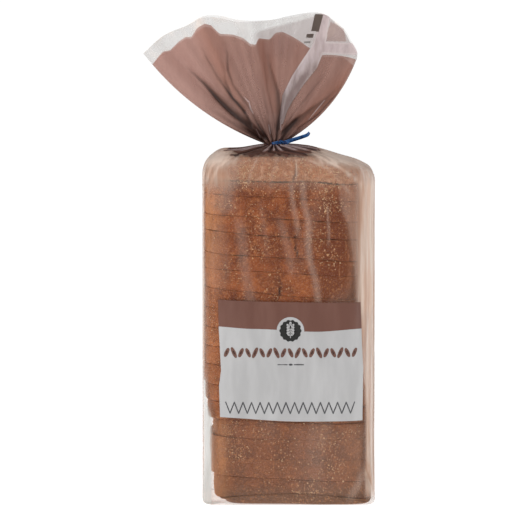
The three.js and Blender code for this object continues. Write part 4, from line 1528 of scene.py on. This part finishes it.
        # Painted shade in the creases, down the strip and in the pleats by the tie, with overlapping print,
        # and darker towards both sides.
        overlap_and_shade = dark + self.strip_shade(x, z, fan) + 0.08 * smooth(-70, -45, x) + 0.08 * smooth(5, 16, x)
        overlap_and_shade = overlap_and_shade + smooth(0.30, 0.04, rise) * (0.2 + 0.6 * self.pleat(angle)) + 0.1 * fan + 0.02
        haze_and_sheen = 0.26 + 0.12 * smooth(0.2, 1.0, waves(points, 18.0, 41)) + 0.05 * np.clip(fan, 0, 1)
        folds = smooth(2.0, 6.0, eased_line(self.front_folds, across)) * front
        shades = {
            "haze_and_sheen": haze_and_sheen + 0.08 * smooth(0.988, 1.0, rise) + 0.1 * folds,
            "ink": ink,
            "overlap_and_shade": np.clip(overlap_and_shade, 0, 1),
            "lit_ridge": np.clip(lit_ridge, 0, 1),
            "veil": veil,
        }
        tail = add_mesh("film_tail", points, grid_faces(self.up, self.around, True), shades)
        paint(tail, [self.finish().material()])
        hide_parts("bag")
        return [tail, self.register_mark()]

    @staticmethod
    def finish() -> FilmFinish:
        """The tail's film, whose bare margin is a cool milky grey."""
        grey, pale = srgb(204, 199, 196), srgb(220, 214, 211)
        return FilmFinish("film_printed", tint=0.92, haze_and_sheen=grey, slack=grey, bright=pale, grey=grey)

    def register_mark(self) -> bpy.types.Object:
        """The plain dark bars near the mouth, laid on the front layer."""
        points, faces = [], []
        rows, columns = self.mark_rows, self.mark_columns
        for number, (wide, high) in enumerate(self.marks):
            across = np.linspace(*wide, columns)[None, :]
            rise = np.linspace(*high, rows)[:, None]
            angle = -np.arccos(2 * across - 1)
            points.append(self.points(angle + 0 * rise, rise + 0 * angle, 0.12).reshape(-1, 3))
            faces.append(grid_faces(rows, columns, False, number * rows * columns))
        mark = add_mesh("register_mark", np.concatenate(points), np.concatenate(faces))
        finish = PrintFinish("register_ink", srgb(74, 60, 52), srgb(92, 78, 68))
        paint(mark, [finish.material()])
        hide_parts("bag")
        return mark


# The printed label

@dataclass
class Label:
    """The front label: a brown band, a pale panel, a scalloped seal and plain ornaments."""

    top: float = 139.8
    seal_x: float = 1.0
    seal_z: float = 120.6
    seal_radius: float = 7.3
    ring_radius: float = 9.4
    round_points: int = 168
    columns: int = 121
    rows: int = 61
    lift: float = 0.18
    layer_gap: float = 0.08
    bottom: float = 60.6
    grain_count: int = 19
    grain_ends: tuple[float, float] = (-42.5, 44.8)
    grain_height: float = 105.4
    rule_heights: tuple[float, float] = (96.9, 97.6)
    zigzag_count: int = 30
    zigzag_left: float = -43.2
    zigzag_step: float = 2.94
    zigzag_heights: tuple[float, float] = (63.6, 71.2)
    split_line: Knots = ((0.0, 123.0), (0.25, 121.8), (0.68, 119.9), (1.0, 121.5))
    edge_heights: tuple[float, ...] = (58, 60.5, 82, 93, 122, 140)
    left_edges: tuple[float, ...] = (-47.2, -47.2, -47.9, -46.5, -48.2, -48.6)
    right_edges: tuple[float, ...] = (50.7, 50.7, 50.9, 51.1, 50.1, 49.3)

    def sides(self, z: Array) -> tuple[Array, Array]:
        """Left and right edge of the label at a height."""
        left, right = (np.interp(z, self.edge_heights, e) for e in (self.left_edges, self.right_edges))
        return left, right

    def field(self, name: str, low: Edge, high: Edge) -> bpy.types.Object:
        """A field of print between two edges that are functions of the share across it."""
        share = np.linspace(0, 1, self.columns)[None, :]
        t = np.linspace(0, 1, self.rows)[:, None]
        z = low(share) + (high(share) - low(share)) * t
        left, right = self.sides(z)
        points = film_front(left + (right - left) * share, z, self.lift)
        return add_mesh(name, points, grid_faces(self.rows, self.columns, False))

    def head(self, share: Array) -> Array:
        """The label's upper edge, a little higher at its left end."""
        return self.top + 1.8 * (1 - share) ** 2

    def split(self, share: Array) -> Array:
        """The wavy line between band and panel, which dips right of the seal."""
        return eased_line(self.split_line, share)

    def foot(self, share: Array) -> Array:
        """The panel's lower edge, which dips away from its left corner."""
        return self.bottom - 2.5 * smooth(0.0, 0.55, share)

    def ornament(self, name: str, outlines: list[Array], lift: float) -> bpy.types.Object:
        """Flat shapes on the label. Each outline of x and z is filled from its middle."""
        points, faces, start = [], [], 0
        for outline in outlines:
            middle = outline.mean(0)
            rings = np.concatenate([middle + (outline - middle) * s for s in (0.34, 0.67, 1.0)])
            flat = np.vstack([rings, middle[None]])
            count = len(outline)
            faces.append(pole_faces(0, count, 3 * count, False) + start)
            faces.append(grid_faces(3, count, True)[:, ::-1] + start)
            points.append(film_front(flat[:, 0], flat[:, 1], lift))
            start += len(flat)
        return add_mesh(name, np.concatenate(points), np.concatenate(faces))

    @staticmethod
    def faced(obj: bpy.types.Object) -> bpy.types.Object:
        """Turn every face of a flat shape on the label towards -Y."""
        mesh = obj.data
        normals = np.zeros(len(mesh.polygons) * 3, np.float32)
        mesh.polygons.foreach_get("normal", normals)
        if normals.reshape(-1, 3)[:, 1].mean() > 0:
            mesh.flip_normals()
        return obj

    def disc(self, radius: float, scallops: int, depth: float) -> Array:
        """A round outline about the seal's centre, with a scalloped edge."""
        angle = np.arange(self.round_points) * TURN / self.round_points
        reach = radius + depth * np.cos(scallops * angle)
        return np.stack([self.seal_x + reach * np.cos(angle), self.seal_z + reach * np.sin(angle)], -1)

    @staticmethod
    def grain(x: float, z: float, length: float, width: float, lean: float) -> Array:
        """A pointed grain: half width is width times the sine of its share, to the power 0.8."""
        t = np.linspace(0, np.pi, 13)
        half = width / 2 * np.sin(t) ** 0.8
        along = length / 2 * -np.cos(t)
        u = np.concatenate([half, -half[-2:0:-1]])
        w = np.concatenate([along, along[-2:0:-1]])
        c, s = math.cos(lean), math.sin(lean)
        return np.stack([x + u * c - w * s, z + u * s + w * c], -1)

    @staticmethod
    def bar(left: float, right: float, low: float, high: float) -> Array:
        """A rule with several points along it, so that it follows the film."""
        x = np.linspace(left, right, max(2, int((right - left) / 3)))
        lower = np.stack([x, 0 * x + low], -1)
        upper = np.stack([x[::-1], 0 * x + high], -1)
        return np.concatenate([lower, upper])

    @staticmethod
    def stroke(start: tuple[float, float], end: tuple[float, float], width: float) -> Array:
        """A straight stroke with square ends that overlap the next stroke."""
        a, b = np.array(start), np.array(end)
        along = (b - a) / np.linalg.norm(b - a)
        across = np.array([-along[1], along[0]]) * width / 2
        a, b = a - along * width * 0.3, b + along * width * 0.3
        return np.array([a - across, b - across, b + across, a + across])

    def wheat_ear(self) -> list[Array]:
        """An ear of wheat: a stem, paired grains and one at the tip."""
        x, z = self.seal_x, self.seal_z
        shapes = [self.bar(x - 0.22, x + 0.22, z - 5.0, z + 1.5)]
        for row in range(4):
            level = z - 2.2 + 1.9 * row
            shapes.append(self.grain(x - 1.5, level, 3.0, 1.5, 0.65))
            shapes.append(self.grain(x + 1.5, level, 3.0, 1.5, -0.65))
        shapes.append(self.grain(x, z + 4.9, 2.8, 1.5, 0.0))
        return shapes

    def grain_row(self) -> list[Array]:
        """A row of grains that leans to and fro across the panel."""
        shapes = []
        for k, x in enumerate(np.linspace(*self.grain_ends, self.grain_count)):
            length = 8.0 if k % 3 == 1 else 6.8
            lean = 0.42 if k % 2 else -0.42
            shapes.append(self.grain(float(x), self.grain_height, length, 2.7, lean))
        return shapes

    def rules(self) -> list[Array]:
        """Two fine rules with a grain between them, and a thin zigzag border on the lower panel."""
        shapes = [self.bar(left, left + 6.8, *self.rule_heights) for left in (-7.8, 3.4)]
        shapes.append(self.grain(1.2, 97.25, 2.6, 1.4, math.pi / 2))
        for k in range(self.zigzag_count):
            left = self.zigzag_left + self.zigzag_step * k
            first, last = self.zigzag_heights[:: 1 if k % 2 else -1]
            shapes.append(self.stroke((left, first), (left + self.zigzag_step, last), 0.8))
        return shapes

    def build(self) -> list[bpy.types.Object]:
        """Make the label's fields, and the ornaments that lie over them."""
        brown = PrintFinish("label_brown", srgb(105, 67, 55), srgb(120, 82, 70)).material()
        pale = PrintFinish("label_pale", srgb(178, 177, 177), srgb(198, 197, 197), 0.4).material()
        dark = PrintFinish("label_dark", srgb(24, 24, 22), srgb(34, 33, 31)).material()
        grain_ink = PrintFinish("label_grain_ink", srgb(104, 70, 60), srgb(114, 80, 68)).material()
        grey = PrintFinish("label_rule_ink", srgb(78, 78, 80), srgb(92, 92, 94)).material()
        ring, disc = self.disc(self.ring_radius, 1, 0.0), self.disc(self.seal_radius, 14, 0.3)
        panel = self.field("label_panel_print", self.foot, self.split)
        band = self.field("label_band_print", self.split, self.head)
        plan = [(panel, pale, Slot.PALE, "label_panel"), (band, brown, Slot.BROWN, "label_band")]
        for name, shapes, layer, ink, slot, node in (
            ("seal_ring", [ring], 1, pale, Slot.PALE, "label_seal"),
            ("seal_disc", [disc], 2, dark, Slot.DARK, "label_seal"),
            ("wheat_ear", self.wheat_ear(), 3, pale, Slot.PALE, "label_seal"),
            ("grain_row", self.grain_row(), 1, grain_ink, Slot.BROWN, "label_panel"),
            ("label_rules", self.rules(), 1, grey, Slot.DARK, "label_panel"),
        ):
            plan.append((self.ornament(name, shapes, self.lift + self.layer_gap * layer), ink, slot, node))
        for obj, ink, slot, node in plan:
            paint(self.faced(obj), [ink])
            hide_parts(node)
        return [row[0] for row in plan]


# The tie

@dataclass
class TwistTie:
    """A flat ribbon with a wire in its middle, wound round the neck and twisted."""

    height: float = 247.2
    radius: float = 6.55
    width: float = 3.4
    thickness: float = 0.55
    wire: float = 0.5
    round_points: int = 28
    turn_points: int = 150
    ends: tuple[tuple[str, tuple[Triple, ...], float, float], ...] = (
        (
            "tie_long_end",
            ((4.2, -5.6, -0.2), (7.8, -6.9, 0.3), (13, -7.7, 2.1), (19, -7.9, 4.0), (23.2, -7.6, 5.6),
             (24.6, -7.3, 7.4)),
            0.5,
            0.84,
        ),
        (
            "tie_short_end",
            ((4.2, -5.8, 0.4), (7.9, -7.0, 0.2), (10.9, -3.6, 0.6), (11.2, 2.4, 1.3), (7.6, 9.2, 1.8)),
            1.0,
            0.72,
        ),
        (
            "tie_twist_over",
            ((3.6, -6.0, -0.6), (5.4, -7.3, 0.6), (7.2, -7.4, -0.5), (8.8, -7.6, 0.9), (10.2, -7.5, 0.6)),
            4.2,
            0.8,
        ),
        (
            "tie_twist_under",
            ((3.6, -6.2, 0.8), (5.2, -7.0, -0.7), (7.0, -8.0, 0.5), (8.7, -7.2, -0.2), (10.0, -7.4, 1.3)),
            4.2,
            0.8,
        ),
    )

    def section(self) -> Array:
        """The ribbon's section: a flat strip that swells round the wire in its middle."""
        t = np.arange(self.round_points) * TURN / self.round_points
        v = np.sign(np.sin(t)) * np.abs(np.sin(t)) ** 0.7
        swell = self.thickness / 2 + self.wire * bell(v, 0.0, 0.24) * 0.55
        return np.stack([swell * np.cos(t), self.width / 2 * v], -1)

    def sweep(self, path: Array, roll: Array, taper: Array) -> tuple[Array, Array]:
        """Carry the section along a path.

        At each point the section's thickness lies across the path and its width runs upright, both
        turned by the roll.

        Args:
            path: Points along the ribbon.
            roll: Turn of the section at each point, in radians.
            taper: Scale of the section at each point.

        Returns:
            Points and faces of a closed skin.
        """
        tangent = np.gradient(path, axis=0)
        tangent /= np.linalg.norm(tangent, axis=1, keepdims=True)
        across = np.cross(np.array([0.0, 0.0, 1.0]), tangent)
        across /= np.linalg.norm(across, axis=1, keepdims=True)
        upright = np.cross(tangent, across)
        cosine, sine = np.cos(roll)[:, None], np.sin(roll)[:, None]
        a = across * cosine + upright * sine
        b = upright * cosine - across * sine
        section = self.section()[None] * taper[:, None, None]
        rings = path[:, None] + section[..., :1] * a[:, None] + section[..., 1:] * b[:, None]
        flat = np.concatenate([rings.reshape(-1, 3), path[:1], path[-1:]])
        return flat, closed_faces(*rings.shape[:2])

    def strands(self) -> dict[str, tuple[Array, Array, Array]]:
        """Path, roll and taper of each strand: two turns round the neck, then the ends by name."""
        middle = np.array([NECK_X, 0, self.height])
        turns = np.linspace(-0.25, TURN - 0.25, self.turn_points) - 0.6
        lift = self.height - 0.6 + 1.2 * np.cos(turns) + 0.5 * np.sin(turns + 0.6)
        tucked = self.radius - 2.6 * bell(np.angle(np.exp(1j * (turns + 2.35))), 0.0, 0.55)
        band = np.stack([NECK_X + tucked * np.cos(turns), tucked * np.sin(turns), lift], -1)
        under = band + np.array([0, 0, -1.1]) + 0.25 * (band - middle) * np.array([-0.2, -0.2, 0])
        strands = {
            "tie_band": (band, 0.12 * np.sin(3 * turns), np.full(len(turns), 1.0)),
            "tie_band_under": (under, 0.16 * np.sin(2 * turns + 1), np.full(len(turns), 0.9)),
        }
        for name, knots, turn, shrink in self.ends:
            path = spline(np.array(knots) + middle, 16)
            along = np.linspace(0, 1, len(path))
            taper = shrink * (1 - 0.25 * smooth(0.94, 1.0, along))
            strands[name] = (path, 0.2 + turn * along * (1 - 0.4 * along), taper)
        return strands

    def build(self) -> list[bpy.types.Object]:
        """Make the band, the twist and the two ends."""
        finish = TieFinish().material()
        made = []
        for name, strand in self.strands().items():
            obj = add_mesh(name, *self.sweep(*strand))
            paint(obj, [finish])
            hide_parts("twist_tie")
            made.append(obj)
        return made


# The studio

@dataclass
class Studio:
    """Floor, soft light and the camera at the photograph's angle."""

    elevation: float = 4.0
    distance: float = 3.5
    frame_width_mm: float = 358.6
    target: Triple = (-20.2, -25.0, 167.4)
    world_light: float = 0.22
    floor_reach: float = 40000.0
    lamps: tuple[tuple[str, Triple, tuple[float, float], float], ...] = (
        ("key_left", (-1.1, -1.5, 1.1), (0.5, 1.3), 8),
        ("top_soft", (0.0, -0.5, 1.7), (1.2, 1.2), 9),
        ("edge_right", (1.5, -0.5, 0.5), (0.25, 1.2), 4),
        ("edge_left", (-1.5, 0.1, 0.5), (0.25, 1.2), 4),
    )

    def camera(self) -> None:
        """Place a long lens so that the frame takes in frame_width_mm at the target."""
        data = bpy.data.cameras.new("camera")
        data.sensor_width = 36.0
        data.lens = 36.0 * self.distance / (self.frame_width_mm * MM)
        data.clip_start, data.clip_end = 0.1, 200.0
        cam = bpy.data.objects.new("camera", data)
        bpy.context.scene.collection.objects.link(cam)
        tilt = math.radians(self.elevation)
        back = Vector((0, -math.cos(tilt), math.sin(tilt)))
        cam.location = Vector(self.target) * MM + back * self.distance
        cam.rotation_euler = (-back).to_track_quat("-Z", "Y").to_euler()
        bpy.context.scene.camera = cam

    @staticmethod
    def lamp(name: str, place: Triple, size: tuple[float, float], power: float) -> None:
        """Add a soft rectangular lamp that faces the middle of the loaf."""
        data = bpy.data.lights.new(name, "AREA")
        data.shape = "RECTANGLE"
        data.size, data.size_y = size
        data.energy = power
        lamp = bpy.data.objects.new(name, data)
        bpy.context.scene.collection.objects.link(lamp)
        lamp.location = place
        aim = Vector((0, 0, 0.16)) - Vector(place)
        lamp.rotation_euler = aim.to_track_quat("-Z", "Y").to_euler()

    def build(self) -> None:
        """Make the studio."""
        self.camera()
        scene = bpy.context.scene
        scene.view_settings.view_transform = "Standard"
        world = bpy.data.worlds.new("studio")
        scene.world = world
        world.use_nodes = True
        sky = world.node_tree.nodes["Background"]
        sky.inputs["Color"].default_value = (1.0, 1.0, 1.0, 1.0)
        sky.inputs["Strength"].default_value = self.world_light
        for row in self.lamps:
            self.lamp(*row)
        corners = np.array([[-1, -1, 0], [1, -1, 0], [1, 1, 0], [-1, 1, 0]]) * self.floor_reach
        floor = add_mesh("floor", corners, np.array([[0, 1, 2, 3]]))
        floor.data.materials.append(FloorFinish().material())


def main() -> None:
    """Build the studio, the bread, the film, the label and the tie, and report each piece."""
    logging.basicConfig(level=logging.INFO, format="%(name)s: %(message)s")
    Studio().build()
    loaf = Loaf()
    pieces = [*loaf.build(), BranFlecks().build(loaf), FilmBody().build()]
    pieces += [*FilmTail().build(), *Label().build(), *TwistTie().build()]
    for piece in pieces:
        log.info("%s: %d faces", piece.name, len(piece.data.polygons))


if __name__ == "__main__":
    main()
